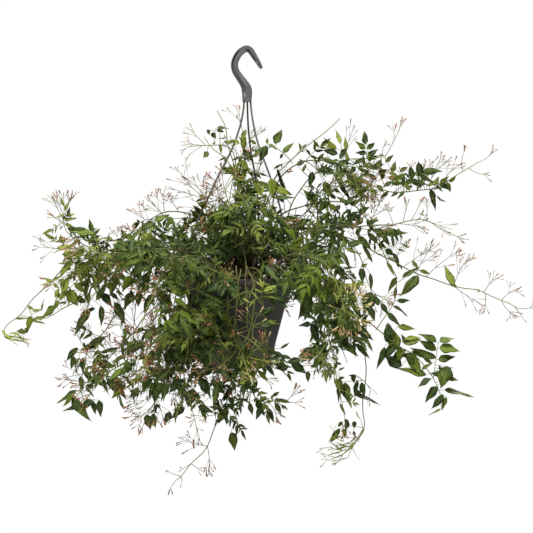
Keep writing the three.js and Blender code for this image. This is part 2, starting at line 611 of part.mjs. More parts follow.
// A flower spray's outline in millimetres, as [along, across, height out of the plane]: a thin
// axis that ends in a slim bud, with opposite pairs of stalked buds.
function sprayOutline(length, pairs, seed) {
  const sides = [-1, 1].map((side) => {
    const points = [];
    for (let pair = 0; pair < pairs; pair += 1) {
      const s = length * (0.36 + (0.5 * (pair + 0.5)) / pairs);
      const reach = BUD_LENGTH + 0.3 * length - 0.22 * s;
      const slant = 0.85 + 0.25 * spread(seed, pair, side);
      const height = 0.75 * reach * spread(seed, pair, side + 5);
      const [dx, dy] = [Math.cos(slant), Math.sin(slant)];
      const belly = reach - BUD_LENGTH * 0.4;
      points.push([s, PEDICEL_RADIUS, 0]);
      points.push([s + dx * belly - dy * BUD_RADIUS, dy * belly + dx * BUD_RADIUS, height * 0.8]);
      points.push([s + dx * reach, dy * reach, height]);
      points.push([s + 2.6 * PEDICEL_RADIUS, PEDICEL_RADIUS, 0]);
    }
    points.push([length - BUD_LENGTH * 0.4, BUD_RADIUS, 0]);
    return points.map(([x, y, z]) => [x, side * y, z]);
  });
  const foot = [[0, PEDICEL_RADIUS, 0], [0, -PEDICEL_RADIUS, 0]];
  return [...foot, ...sides[0], [length, 0, 0], ...sides[1].reverse()];
}

function spraySolid(foot, direction, facing, length, pairs, seed, swell) {
  const { along, normal, across } = sprigAxes(direction, facing);
  const toSpace = ([x, y, height], lift) => foot.clone()
    .addScaledVector(along, x)
    .addScaledVector(across, y)
    .addScaledVector(normal, height + lift)
    .addScaledVector(UP, (-SPRAY_SAG * x * x) / length);
  return plate(sprayOutline(length, pairs, seed), toSpace, SPRAY_THICKNESS + 2 * swell);
}

// ---------------------------------------------------------------- the plant
// Solids placed so far, with the node that each belongs to and its box.
const placed = [];

function boxOf(solid) {
  const { min, max } = solid.boundingBox();
  return new THREE.Box3(vector(min), vector(max));
}

function keep(node, solid) {
  placed.push({ node, solid, box: boxOf(solid) });
}

// True where none of the solids touches a solid of another node.
function clearOf(node, solids) {
  return solids.every((solid) => {
    const box = boxOf(solid);
    return placed.every((other) => {
      if (other.node === node || !other.box.intersectsBox(box)) {
        return true;
      }
      const common = solid.intersect(other.solid);
      const empty = common.isEmpty();
      common.delete();
      return empty;
    });
  });
}

// Tries one variation after another and keeps the first that is clear of its neighbours.
function place(node, make) {
  for (let attempt = 0; attempt < TRIES; attempt += 1) {
    const trial = make(attempt, CLEARANCE);
    const clear = clearOf(node, trial);
    trial.forEach((solid) => solid.delete());
    if (clear) {
      const solids = make(attempt, 0);
      solids.forEach((solid) => keep(node, solid));
      return { solids, attempt };
    }
  }
  return null;
}

// Stems leave the soil on a sunflower's spiral: each takes the free place nearest to its way.
function rootPlaces() {
  const places = VINES.map((_, i) => {
    const radius = ROOT_RING_RADIUS * Math.sqrt((i + 0.5) / VINES.length);
    const angle = i * GOLDEN_ANGLE;
    return new THREE.Vector2(POT_X + radius * Math.cos(angle), radius * Math.sin(angle));
  });
  return VINES.map(({ path }) => {
    const [x, y] = path[0];
    const target = new THREE.Vector2(x - POT_X, y);
    const inside = Math.min(1, ROOT_RING_RADIUS / Math.max(target.length(), 1));
    target.multiplyScalar(inside * ROOT_INSET).add(new THREE.Vector2(POT_X, 0));
    places.sort((a, b) => a.distanceTo(target) - b.distanceTo(target));
    return places.shift();
  });
}

// The stem's middle line: straight up out of the soil and then through its points.
function stemLine(vine, order, root, attempt) {
  const foot = new THREE.Vector3(root.x, root.y, SOIL_TOP_Z - ROOT_DEPTH);
  const neck = new THREE.Vector3(root.x, root.y, SOIL_TOP_Z + SOIL_CROWN + 3);
  const points = vine.path.map((p, i) => {
    const shift = Math.min(attempt * 0.9, 9);
    return vector(p).add(new THREE.Vector3(
      shift * spread(order, i, attempt * 3 + 1),
      shift * 1.4 * spread(order, i, attempt * 3 + 2),
      shift * 0.6 * draw(order, i, attempt * 3 + 3),
    ));
  });
  const curve = new THREE.CatmullRomCurve3([neck, ...points], false, 'centripetal');
  const stops = curve.getSpacedPoints(Math.ceil(curve.getLength() / STEM_STEP));
  const line = new THREE.CurvePath();
  stops.slice(1).forEach((stop, i) => line.add(new THREE.LineCurve3(stops[i], stop)));
  return { foot, stops, line };
}

function stemSolid({ foot, stops }, swell) {
  const points = [foot, ...stops];
  const radii = points.map((_, i) => {
    const along = i / (points.length - 1);
    return THREE.MathUtils.lerp(STEM_ROOT_RADIUS, STEM_TIP_RADIUS, along) + swell;
  });
  return tube(points, radii, STEM_SIDES);
}

// The directions for a sprig at a place along a stem, turned about the stem by an angle.
function sprigFrame({ line }, at, turn) {
  const point = line.getPointAt(at);
  const tangent = line.getTangentAt(at);
  const level = Math.abs(tangent.z) < 0.95 ? UP : new THREE.Vector3(0, -1, 0);
  const side = level.clone().cross(tangent).normalize();
  const outward = side.applyAxisAngle(tangent, turn);
  const away = new THREE.Vector3(point.x - POT_X, point.y * 1.6, 0).normalize();
  return { point, tangent, outward, away };
}

function leafSolids(vine, order, stem, leaf, attempt, swell) {
  const at = vine.from + (1 - vine.from) * ((leaf + 0.45) / vine.leaves);
  const turn = leaf * 2.2 + order + attempt * 0.61;
  const { point, tangent, outward, away } = sprigFrame(stem, at, turn);
  const droop = 0.12 + 0.3 * draw(order, leaf, 11);
  const direction = tangent.clone().multiplyScalar(0.5)
    .add(outward)
    .addScaledVector(UP, -0.25 - 0.35 * draw(order, leaf, 12) + 0.05 * attempt);
  const facing = away.multiplyScalar(0.8)
    .addScaledVector(UP, 0.7)
    .add(new THREE.Vector3(spread(order, leaf, 13), spread(order, leaf, 14), 0).multiplyScalar(0.5));
  const length = LEAF_LENGTH * (vine.size ?? 1) * (0.85 + 0.3 * draw(order, leaf, 15));
  const pairs = (leaf + order) % 2 === 1 ? 1 : 2;
  return [leafBlade(point, direction, facing, length, pairs, droop, BLADE_THICKNESS + 2 * swell)];
}

// The point of a stem that is nearest to a place seen from the front.
function nearestPoint({ line }, x, z) {
  const points = line.getSpacedPoints(FOOT_PLACES);
  const gap = (p) => Math.hypot(p.x - x, p.z - z);
  return points.reduce((best, p) => (gap(p) < gap(best) ? p : best));
}

// A leaf that is set by its foot and its tip, with its face to the room.
function setLeaf(order, stem, [x, z, tipX, tipZ, pairs], index, attempt, swell) {
  const foot = nearestPoint(stem, x, z);
  const tip = new THREE.Vector3(tipX, foot.y, tipZ);
  const direction = tip.sub(foot);
  const length = direction.length();
  direction.y = length * (0.12 + 0.05 * attempt) * spread(order, index + 21, attempt);
  const facing = new THREE.Vector3(0.3 * spread(order, index, 22), -0.85, 0.45);
  return [leafBlade(foot, direction, facing, length, pairs, SET_DROOP, BLADE_THICKNESS + 2 * swell)];
}

function sprayAt(order, stem, [at, length, pairs, colour], index, attempt, swell) {
  const turn = order * 1.3 + index * 2.4 + attempt * 0.7;
  const { point, tangent, outward, away } = sprigFrame(stem, at, turn);
  const atTip = at === 1;
  const lean = atTip ? 1.2 : 0.55;
  const direction = tangent.clone().multiplyScalar(lean)
    .addScaledVector(outward, atTip ? 0.35 + 0.1 * attempt : 0.9)
    .addScaledVector(UP, 0.3 + 0.03 * attempt);
  direction.normalize();
  const off = colour ? STEM_TIP_RADIUS + 2.2 * GAP + PEDICEL_RADIUS * 2 : 0;
  const start = point.clone();
  if (colour && atTip) {
    start.addScaledVector(tangent, 2.6 * GAP);
  } else if (colour) {
    start.addScaledVector(outward, off);
  }
  return [spraySolid(start, direction, away, length, pairs, order * 7 + index, swell)];
}

function makePlant() {
  const roots = rootPlaces();
  const lines = [];
  VINES.forEach((vine, order) => {
    const done = place(vine.name, (attempt, swell) => {
      return [stemSolid(stemLine(vine, order, roots[order], attempt), swell)];
    });
    lines.push(done ? stemLine(vine, order, roots[order], done.attempt) : null);
    if (!done) {
      console.warn(`no clear way for ${vine.name}`);
    }
  });
  const meshes = [];
  VINES.forEach((vine, order) => {
    const line = lines[order];
    if (!line) {
      return;
    }
    vine.sprays.forEach((spray, index) => {
      const node = spray[3] ? `bud_spray_${vine.name}` : vine.name;
      const done = place(node, (attempt, swell) => sprayAt(order, line, spray, index, attempt, swell));
      if (!done) {
        console.warn(`no clear place for a spray of ${vine.name}`);
      } else if (spray[3]) {
        meshes.push(named(node, Manifold.union(done.solids), COLOURS[spray[3]], 0.5));
      }
    });
    (vine.set ?? []).forEach((leaf, index) => {
      if (!place(vine.name, (attempt, swell) => setLeaf(order, line, leaf, index, attempt, swell))) {
        console.warn(`no clear place for set leaf ${index} of ${vine.name}`);
      }
    });
    for (let leaf = 0; leaf < vine.leaves; leaf += 1) {
      if (!place(vine.name, (attempt, swell) => leafSolids(vine, order, line, leaf, attempt, swell))) {
        console.warn(`no clear place for leaf ${leaf} of ${vine.name}`);
      }
    }
  });
  VINES.forEach((vine, order) => {
    const own = placed.filter(({ node }) => node === vine.name).map(({ solid }) => solid);
    const colour = order % 5 === 4 ? COLOURS.youngFoliage : COLOURS.foliage;
    meshes.push(named(vine.name, Manifold.union(own), colour, 0.45));
  });
  return { meshes, roots };
}

// ---------------------------------------------------------------- the whole
const strandTops = Object.values(STRAND_ANGLES).map(strandTop);
const pot = makePot();
const hook = makeHook(strandTops);
const strands = Object.keys(STRAND_ANGLES).map((side) => [`strand_${side}`, makeStrand(side)]);
keep('pot', pot);
keep('hook', hook);
strands.forEach(([name, strand]) => keep(name, strand));
const plant = makePlant();

const jasmine = new THREE.Group();
jasmine.add(named('pot', pot, COLOURS.pot, 0.6));
jasmine.add(named('soil', makeSoil(plant.roots), COLOURS.soil, 0.95));
jasmine.add(named('hook', hook, COLOURS.hanger, 0.5));
strands.forEach(([name, strand]) => jasmine.add(named(name, strand, COLOURS.hanger, 0.5)));
plant.meshes.forEach((mesh) => jasmine.add(mesh));

export default jasmine;
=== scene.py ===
"""A pink jasmine in its hanging pot: finishes, fine foliage, flower sprays and studio.

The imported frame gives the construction. Every piece here is a surface worked out as whole
arrays, in metres, in the frame's own coordinates, and it replaces the frame's plain solids.
"""
import logging
import math
from dataclasses import dataclass, field
from enum import Enum
from typing import Iterable, Sequence

import bpy
import numpy as np
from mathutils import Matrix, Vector


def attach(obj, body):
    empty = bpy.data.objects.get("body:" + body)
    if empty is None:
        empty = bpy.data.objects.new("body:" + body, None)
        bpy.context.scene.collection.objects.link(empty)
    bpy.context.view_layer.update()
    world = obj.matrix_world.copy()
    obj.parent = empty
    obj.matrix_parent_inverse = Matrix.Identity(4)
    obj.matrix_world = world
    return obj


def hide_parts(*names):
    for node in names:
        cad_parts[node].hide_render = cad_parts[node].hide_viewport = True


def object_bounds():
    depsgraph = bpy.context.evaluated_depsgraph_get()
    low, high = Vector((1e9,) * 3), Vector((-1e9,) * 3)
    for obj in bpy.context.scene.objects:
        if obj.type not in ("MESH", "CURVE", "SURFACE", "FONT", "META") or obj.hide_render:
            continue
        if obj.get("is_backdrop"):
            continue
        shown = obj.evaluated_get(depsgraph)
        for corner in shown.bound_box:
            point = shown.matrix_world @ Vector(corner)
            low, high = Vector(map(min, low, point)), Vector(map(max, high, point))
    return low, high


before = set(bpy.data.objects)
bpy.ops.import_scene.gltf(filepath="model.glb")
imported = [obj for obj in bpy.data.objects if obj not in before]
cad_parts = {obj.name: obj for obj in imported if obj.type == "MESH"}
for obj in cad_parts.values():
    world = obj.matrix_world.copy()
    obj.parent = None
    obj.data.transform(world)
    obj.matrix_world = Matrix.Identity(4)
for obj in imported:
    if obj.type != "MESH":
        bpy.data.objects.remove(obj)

LOG = logging.getLogger("jasmine")
MM = 0.001
UP = np.array([0.0, 0.0, 1.0])
START_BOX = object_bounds()
BOX_MARGIN = 9 * MM  # how far foliage may reach past the frame's own box

Array = np.ndarray
Colour = tuple[float, float, float]


# ------------------------------------------------------------------ vectors and curves
def unit(v: Array) -> Array:
    """Vectors of length one along v, for an array whose last axis holds x, y and z."""
    return v / np.maximum(np.linalg.norm(v, axis=-1, keepdims=True), 1e-12)


def square_to(v: Array, axis: Array) -> Array:
    """The unit part of v at a right angle to the unit vectors axis."""
    return unit(v - np.sum(v * axis, axis=-1, keepdims=True) * axis)


def smooth(x: Array, low: float, high: float) -> Array:
    """A smooth step from 0 at low to 1 at high."""
    t = np.clip((np.asarray(x, float) - low) / (high - low), 0.0, 1.0)
    return t * t * (3.0 - 2.0 * t)


def window(x: Array, begin: float, full: float, fade: float, end: float) -> Array:
    """One from full to fade, with smooth steps from nothing at begin and to nothing at end."""
    return smooth(x, begin, full) * (1 - smooth(x, fade, end))


def spline(points: Array, step: float) -> Array:
    """Points at equal steps along a centripetal Catmull-Rom curve.

    Between two of its points the curve is a cubic whose end slopes are those of the parabolas
    through three neighbours, with knots spaced by the square root of the distance.

    Args:
        points: The points that the curve passes, one row each.
        step: The wanted distance between samples.

    Returns:
        The samples, one row each, the first and last point among them.
    """
    p = np.vstack([2 * points[0] - points[1], points, 2 * points[-1] - points[-2]])
    gap = np.sqrt(np.linalg.norm(np.diff(p, axis=0), axis=1))[:, None]
    a, b, c, d = p[:-3], p[1:-2], p[2:-1], p[3:]
    ga, gb, gc = gap[:-2], gap[1:-1], gap[2:]
    slope_b = ((b - a) / ga - (c - a) / (ga + gb) + (c - b) / gb) * gb
    slope_c = ((c - b) / gb - (d - b) / (gb + gc) + (d - c) / gc) * gb
    samples = 24  # between two points, before they are spaced out evenly
    t = np.linspace(0.0, 1.0, samples, endpoint=False)[None, :, None]
    b, c, m, n = b[:, None], c[:, None], slope_b[:, None], slope_c[:, None]
    curve = (
        (2 * t**3 - 3 * t**2 + 1) * b + (t**3 - 2 * t**2 + t) * m
        + (3 * t**2 - 2 * t**3) * c + (t**3 - t**2) * n
    ).reshape(-1, 3)
    curve = np.vstack([curve, points[-1]])
    along = np.concatenate([[0.0], np.cumsum(np.linalg.norm(np.diff(curve, axis=0), axis=1))])
    count = max(int(math.ceil(along[-1] / step)), 2) + 1
    stops = np.linspace(0.0, along[-1], count)
    return np.stack([np.interp(stops, along, curve[:, k]) for k in range(3)], axis=1)


def bend(p0: Array, p1: Array, p2: Array, t: Array) -> tuple[Array, Array]:
    """Quadratic Bezier curves and their unit tangents.

    Args:
        p0: Start points, one row for each curve.
        p1: The points that the curves lean towards.
        p2: End points.
        t: Places along the curves from 0 to 1, one row for each curve.

    Returns:
        Points and tangents, as curve by place by coordinate.
    """
    t = t[..., None]
    p0, p1, p2 = p0[:, None], p1[:, None], p2[:, None]
    point = (1 - t) ** 2 * p0 + 2 * t * (1 - t) * p1 + t**2 * p2
    tangent = unit(2 * (1 - t) * (p1 - p0) + 2 * t * (p2 - p1))
    return point, tangent


def at_share(p0: Array, p1: Array, p2: Array, share: Array | float) -> tuple[Array, Array]:
    """One point and unit tangent on each quadratic curve, at a share of its way."""
    point, tangent = bend(p0, p1, p2, np.broadcast_to(share, len(p0))[:, None])
    return point[:, 0], tangent[:, 0]


# ------------------------------------------------------------------ surfaces
@dataclass
class Shell:
    """A closed surface or many of them, with two sets of three numbers on each vertex."""

    points: Array
    quads: Array
    tris: Array
    coords: Array  # where a vertex lies on its own leaflet, stem or bud
    tint: Array  # three numbers that its finish reads, such as age and tone

    @staticmethod
    def join(shells: Sequence["Shell"]) -> "Shell":
        """One shell that holds all the given ones."""
        starts = np.cumsum([0] + [len(s.points) for s in shells[:-1]])
        return Shell(
            np.concatenate([s.points for s in shells]),
            np.concatenate([s.quads + k for s, k in zip(shells, starts)]),
            np.concatenate([s.tris + k for s, k in zip(shells, starts)]),
            np.concatenate([s.coords for s in shells]),
            np.concatenate([s.tint for s in shells]),
        )


def skin(rings: Array, start: Array, end: Array, coords: Array, tint: Array) -> Shell:
    """Closed skins over rings of points, each drawn in to a single point at both ends.

    A ring turns to the left round the way from start to end, so the faces point outwards.

    Args:
        rings: Points as skin by ring by place on the ring by coordinate.
        start: The closing point before the first ring of each skin.
        end: The closing point after the last ring.
        coords: Three numbers for each point of rings, then for start and end.
        tint: Three numbers for each skin.

    Returns:
        The skins as one shell.
    """
    count, stations, sides, _ = rings.shape
    flat = rings.reshape(count, stations * sides, 3)
    points = np.concatenate([flat, start[:, None], end[:, None]], axis=1)
    per = stations * sides + 2
    s, k = np.meshgrid(np.arange(stations - 1), np.arange(sides), indexing="ij")
    nxt = (k + 1) % sides
    quad = np.stack([s * sides + k, s * sides + nxt, (s + 1) * sides + nxt, (s + 1) * sides + k], -1)
    k = np.arange(sides)
    nxt = (k + 1) % sides
    last = (stations - 1) * sides
    foot = np.stack([np.full(sides, per - 2), nxt, k], -1)
    tip = np.stack([np.full(sides, per - 1), last + k, last + nxt], -1)
    offset = (np.arange(count) * per)[:, None, None]
    return Shell(
        points.reshape(-1, 3),
        (quad.reshape(1, -1, 4) + offset).reshape(-1, 4),
        (np.concatenate([foot, tip])[None] + offset).reshape(-1, 3),
        np.broadcast_to(coords, (count, per, 3)).reshape(-1, 3),
        np.repeat(tint[:, None], per, axis=1).reshape(-1, 3),
    )


def round_coords(count: int, u: Array, sides: int) -> Array:
    """Place along and place round for each point of a round skin, in skin's order."""
    around = np.arange(sides) / sides
    grid = np.stack(np.meshgrid(u, around, indexing="ij"), -1).reshape(-1, 2)
    grid = np.vstack([grid, [u[0], 0.5], [u[-1], 0.5]])
    coords = np.concatenate([grid, np.ones((len(grid), 1))], axis=1)
    return np.broadcast_to(coords, (count, len(grid), 3))


def rings_round(centre: Array, tangent: Array, radius: Array, side: Array, sides: int) -> Array:
    """Circles of points round curves: centre + radius (cos a X + sin a Y), X and Y across.

    Args:
        centre: Points as curve by station by coordinate.
        tangent: Unit tangents, alike.
        radius: Radii as curve by station.
        side: A direction well off the tangents, one row for each curve.
        sides: How many points a circle has.

    Returns:
        The circles' points as curve by station by side by coordinate.
    """
    x = square_to(np.broadcast_to(side[:, None], centre.shape), tangent)
    y = np.cross(tangent, x)
    a = np.arange(sides) * 2 * math.pi / sides
    ring = np.cos(a)[:, None] * x[:, :, None] + np.sin(a)[:, None] * y[:, :, None]
    return centre[:, :, None] + radius[:, :, None, None] * ring


def off_axis(v: Array) -> Array:
    """For each vector the coordinate axis that it leans to the least."""
    return np.eye(3)[np.argmin(np.abs(v), axis=-1)]


def twigs(p0: Array, p1: Array, p2: Array, radii: tuple[float, float], tint: Array,
          sides: int = 4, stations: int = 4) -> Shell:
    """Thin bent rods: circles along quadratic Bezier curves, tapering from end to end.

    Args:
        p0: Start points. p1: Lean points. p2: End points, one row for each rod.
        radii: Radius at the start and at the end.
        tint: Three numbers for each rod.
        sides: Points on each circle.
        stations: Circles on each rod.

    Returns:
        The rods as one shell.
    """
    count = len(p0)
    t = np.broadcast_to(np.linspace(0.0, 1.0, stations), (count, stations))
    centre, tangent = bend(p0, p1, p2, t)
    radius = radii[0] * (1 - t) + radii[1] * t
    rings = rings_round(centre, tangent, radius, off_axis(p2 - p0), sides)
    coords = round_coords(count, np.linspace(0.0, 1.0, stations), sides)
    return skin(rings, centre[:, 0], centre[:, -1], coords, tint)


@dataclass(frozen=True)
class BladeForm:
    """The form of every leaflet; a length is a share of the leaflet's own."""

    fullness: float = 4.1  # brings the greatest half-width to one
    foot_power: float = 0.75
    tip_power: float = 1.45
    half_thickness: float = 0.00028  # in metres
    sag: float = 0.55  # how far the tip bends down for a curl of one
    shorten: float = 0.12  # how much shorter that makes it
    sickle: float = 0.16  # how far the tip may lie to the side
    twist: float = 0.75  # how far the tip may turn about the rib
    narrow: float = 0.3  # how much narrower that makes it
    ripple: float = 0.028
    uneven: float = 0.09  # share of the width that the edges may wander


BLADE = BladeForm()


def leaflets(foot: Array, along: Array, facing: Array, length: Array, width: Array,
             curl: Array, fold: Array, wave: Array, tint: Array, stations: int = 5) -> Shell:
    """Pointed leaflets: thin lens-like blades, raised on both sides of a sunken midrib.

    Across a blade the upper face rises from the rib to the middle of each half and falls to the
    edge. Along it the half-width follows an egg shape drawn out to a fine tip: a power of the
    way from the foot times a power of the way left to the tip, made slightly uneven by a sine.
    The blade bends down by curl times the square of the way along, and sideways a little, as a
    sickle does. It turns about its rib towards its tip, and its edges rise and fall in a slow
    wave.

    Args:
        foot: Where each leaflet starts. along: Its direction. facing: Its upper side.
        length: Its length. width: Its greatest width. curl: How far it bends down.
        fold: How steeply its halves rise from the rib. wave: Phase of its edge's wave.
        tint: Three numbers for each leaflet.
        stations: How many sections each leaflet has.

    Returns:
        The leaflets as one shell.
    """
    form = BLADE
    a = unit(along)
    n = square_to(facing, a)
    s = np.cross(n, a)
    u = np.linspace(0.3 / stations, 1.0 - 0.8 / stations, stations)
    half = form.fullness * u**form.foot_power * (1.0 - u) ** form.tip_power
    q = np.array([1.0, 0.5, 0.0, -0.5, -1.0, 0.0])  # places round a section, from edge to edge
    upper = np.array([0.0, 1.0, 0.35, 1.0, 0.0, -0.6])  # how thick it is there
    top = np.array([0.5, 1.0, 1.0, 1.0, 0.5, 0.0])  # one on the upper face
    hw = (0.5 * width)[:, None, None] * half[None, :, None]
    size = length[:, None, None]
    bow = curl[:, None, None]
    phase = wave[:, None, None]
    uu = u[None, :, None]
    qq = q[None, None, :]
    x = size * uu * (1.0 - form.shorten * bow * uu)
    sag = -form.sag * size * bow * uu**2
    ripple = form.ripple * size * np.sin(9.0 * uu + phase + 1.3 * qq) * np.abs(qq)
    sway = form.sickle * length * np.sin(5.0 * wave)
    turn = (form.twist * np.sin(11.0 * wave))[:, None, None] * uu
    lift = (fold[:, None, None] * np.abs(qq) + turn * qq) * hw + sag + ripple
    thick = form.half_thickness * upper[None, None, :] * (0.6 + 0.4 * half[None, :, None])
    uneven = 1.0 + form.uneven * np.sin(13.0 * uu + phase + 2.0 * np.sign(qq))
    across = qq * hw * uneven * (1.0 - form.narrow * turn**2) + sway[:, None, None] * uu**2
    points = (
        foot[:, None, None]
        + a[:, None, None] * (x + 0 * qq)[..., None]
        + s[:, None, None] * across[..., None]
        + n[:, None, None] * (lift + thick)[..., None]
    )
    tip = foot + a * (length * (1.0 - form.shorten * curl))[:, None]
    tip = tip - n * (form.sag * length * curl)[:, None] + s * sway[:, None]
    grid = np.stack(np.broadcast_arrays(u[:, None], q[None, :], top[None, :]), -1).reshape(-1, 3)
    coords = np.vstack([grid, [0.0, 0.0, 0.5], [1.0, 0.0, 0.5]])
    return skin(points, foot, tip, coords, tint)


def buds(foot: Array, along: Array, length: Array, radius: Array, bow: Array, tint: Array) -> Shell:
    """Slim closed buds: a thin tube that swells to a club near its end and comes to a point.

    Args:
        foot: Where each bud starts. along: Its direction. length: Its length.
        radius: Its greatest radius. bow: A small vector that bends it sideways.
        tint: Three numbers for each bud.

    Returns:
        The buds as one shell.
    """
    a = unit(along)
    sides = 5
    u = np.array([0.02, 0.1, 0.16, 0.5, 0.76, 0.92])
    swell = np.array([0.45, 0.62, 0.44, 0.62, 1.0, 0.66])
    way = (length[:, None] * u)[..., None]
    centre = foot[:, None] + a[:, None] * way + bow[:, None] * (u**2)[None, :, None]
    tangent = unit(a[:, None] * length[:, None, None] + bow[:, None] * (2 * u)[None, :, None])
    rings = rings_round(centre, tangent, radius[:, None] * swell, off_axis(a), sides)
    coords = round_coords(len(foot), u, sides)
    return skin(rings, foot, foot + a * length[:, None] + bow, coords, tint)


def make_object(name: str, parts: Sequence[tuple[Shell, "bpy.types.Material"]],
                replaces: Iterable[str] = ()) -> "bpy.types.Object":
    """Puts shells into one mesh object at the origin, hangs it on the root body and hides the frame's
    parts that it replaces.

    Args:
        name: The piece's name.
        parts: Shells, each with its material.
        replaces: The frame's nodes that the piece stands for.

    Returns:
        The new object.
    """
    whole = Shell.join([shell for shell, _ in parts])
    mesh = bpy.data.meshes.new(name)
    quads, tris = len(whole.quads), len(whole.tris)
    mesh.vertices.add(len(whole.points))
    mesh.vertices.foreach_set("co", whole.points.astype(np.float32).ravel())
    mesh.loops.add(quads * 4 + tris * 3)
    mesh.polygons.add(quads + tris)
    mesh.loops.foreach_set(
        "vertex_index", np.concatenate([whole.quads.ravel(), whole.tris.ravel()]).astype(np.int32)
    )
    starts = np.concatenate([np.arange(quads) * 4, quads * 4 + np.arange(tris) * 3])
    mesh.polygons.foreach_set("loop_start", starts.astype(np.int32))
    index = [np.full(len(shell.quads), i) for i, (shell, _) in enumerate(parts)]
    index += [np.full(len(shell.tris), i) for i, (shell, _) in enumerate(parts)]
    mesh.update(calc_edges=True)
    mesh.polygons.foreach_set("material_index", np.concatenate(index).astype(np.int32))
    mesh.polygons.foreach_set("use_smooth", np.ones(quads + tris, dtype=bool))
    for label, values in (("place", whole.coords), ("tint", whole.tint)):
        attribute = mesh.attributes.new(label, "FLOAT_VECTOR", "POINT")
        attribute.data.foreach_set("vector", values.astype(np.float32).ravel())
    for _, material in parts:
        mesh.materials.append(material)
    mesh.validate()
    piece = bpy.data.objects.new(name, mesh)
    bpy.context.scene.collection.objects.link(piece)
    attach(piece, "root")
    nodes = list(replaces)
    if nodes:
        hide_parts(*nodes)
    LOG.info("%s: %d faces", name, quads + tris)
    return piece


# ------------------------------------------------------------------ shader maths
class Wire:
    """A number or colour socket that adds Math nodes when it is used in an expression."""

    def __init__(self, maker: "Nodes", socket: "bpy.types.NodeSocket") -> None:
        """Wraps a socket of the maker's tree."""
        self.maker = maker
        self.socket = socket

    def _math(self, operation: str, *values: "Wire | float") -> "Wire":
        """A Math node on the values."""
        inputs = dict(enumerate(values))
        return self.maker.add("ShaderNodeMath", {"operation": operation}, inputs)

    def __add__(self, other: "Wire | float") -> "Wire":
        """self + other."""
        return self._math("ADD", self, other)

    __radd__ = __add__

    def __sub__(self, other: "Wire | float") -> "Wire":
        """self - other."""
        return self._math("SUBTRACT", self, other)

    def __rsub__(self, other: "Wire | float") -> "Wire":
        """other - self."""
        return self._math("SUBTRACT", other, self)

    def __mul__(self, other: "Wire | float") -> "Wire":
        """self * other."""
        return self._math("MULTIPLY", self, other)

    __rmul__ = __mul__

    def __abs__(self) -> "Wire":
        """The size of self without its sign."""
        return self._math("ABSOLUTE", self)

    def sine(self) -> "Wire":
        """The sine of self in radians."""
        return self._math("SINE", self)

    def between(self, low: float, high: float) -> "Wire":
        """A smooth step from 0 at low to 1 at high."""
        return self.maker.add(
            "ShaderNodeMapRange",
            {"interpolation_type": "SMOOTHSTEP", "clamp": True},
            {"Value": self, "From Min": low, "From Max": high},
        )


class Nodes:
    """Makes the nodes of one material."""

    def __init__(self, name: str) -> None:
        """Starts an empty material with a Principled shader."""
        self.material = bpy.data.materials.new(name)
        self.material.use_nodes = True
        self.tree = self.material.node_tree
        self.shader = self.tree.nodes["Principled BSDF"]

    def add(self, kind: str, settings: dict | None = None, values: dict | None = None,
            output: str | int = 0) -> Wire:
        """Adds a node.

        Args:
            kind: The node's type.
            settings: Its own settings.
            values: Numbers, colours or wires for its input sockets.
            output: Which of its outputs is wanted.

        Returns:
            That output.
        """
        node = self.tree.nodes.new(kind)
        for key, value in (settings or {}).items():
            setattr(node, key, value)
        for key, value in (values or {}).items():
            self.feed(node.inputs[key], value)
        return Wire(self, node.outputs[output])

    def feed(self, socket: "bpy.types.NodeSocket", value: "Wire | float | tuple") -> None:
        """Links a wire to a socket or sets its value."""
        if isinstance(value, Wire):
            self.tree.links.new(value.socket, socket)
        elif isinstance(value, tuple) and len(value) == 3 and socket.type == "RGBA":
            socket.default_value = (*value, 1.0)
        else:
            socket.default_value = value

    def shade(self, **values: "Wire | float | tuple") -> "bpy.types.Material":
        """Sets the Principled shader's sockets, named with _ for a space, and returns the material."""
        for key, value in values.items():
            self.feed(self.shader.inputs[key.replace("_", " ")], value)
        return self.material

    def blend(self, share: "Wire | float", first: "Wire | tuple", second: "Wire | tuple") -> Wire:
        """A colour between first and second, by share."""
        values = {0: share, 6: first, 7: second}
        return self.add("ShaderNodeMix", {"data_type": "RGBA"}, values, output=2)

    def spot(self) -> Wire:
        """Object coordinates."""
        return self.add("ShaderNodeTexCoord", output="Object")

    def noise(self, scale: float, detail: float = 3.0, rough: float = 0.55) -> Wire:
        """Noise from about 0.3 to 0.7 on Object coordinates, scale in waves to the metre."""
        return self.add(
            "ShaderNodeTexNoise", {},
            {"Vector": self.spot(), "Scale": scale, "Detail": detail, "Roughness": rough},
        )

    def parts_of(self, label: str) -> tuple[Wire, Wire, Wire]:
        """The three numbers of a vertex attribute."""
        vector = self.add("ShaderNodeAttribute", {"attribute_name": label}, output="Vector")
        node = self.tree.nodes.new("ShaderNodeSeparateXYZ")
        self.feed(node.inputs[0], vector)
        return tuple(Wire(self, socket) for socket in node.outputs)

    def bump(self, height: Wire, strength: float, distance: float) -> Wire:
        """A normal that a height raises."""
        return self.add(
            "ShaderNodeBump", {}, {"Height": height, "Strength": strength, "Distance": distance}
        )


# ------------------------------------------------------------------ finishes
FIVE_RIDGES = 31.4  # turns the share of the way round into the phase of five waves


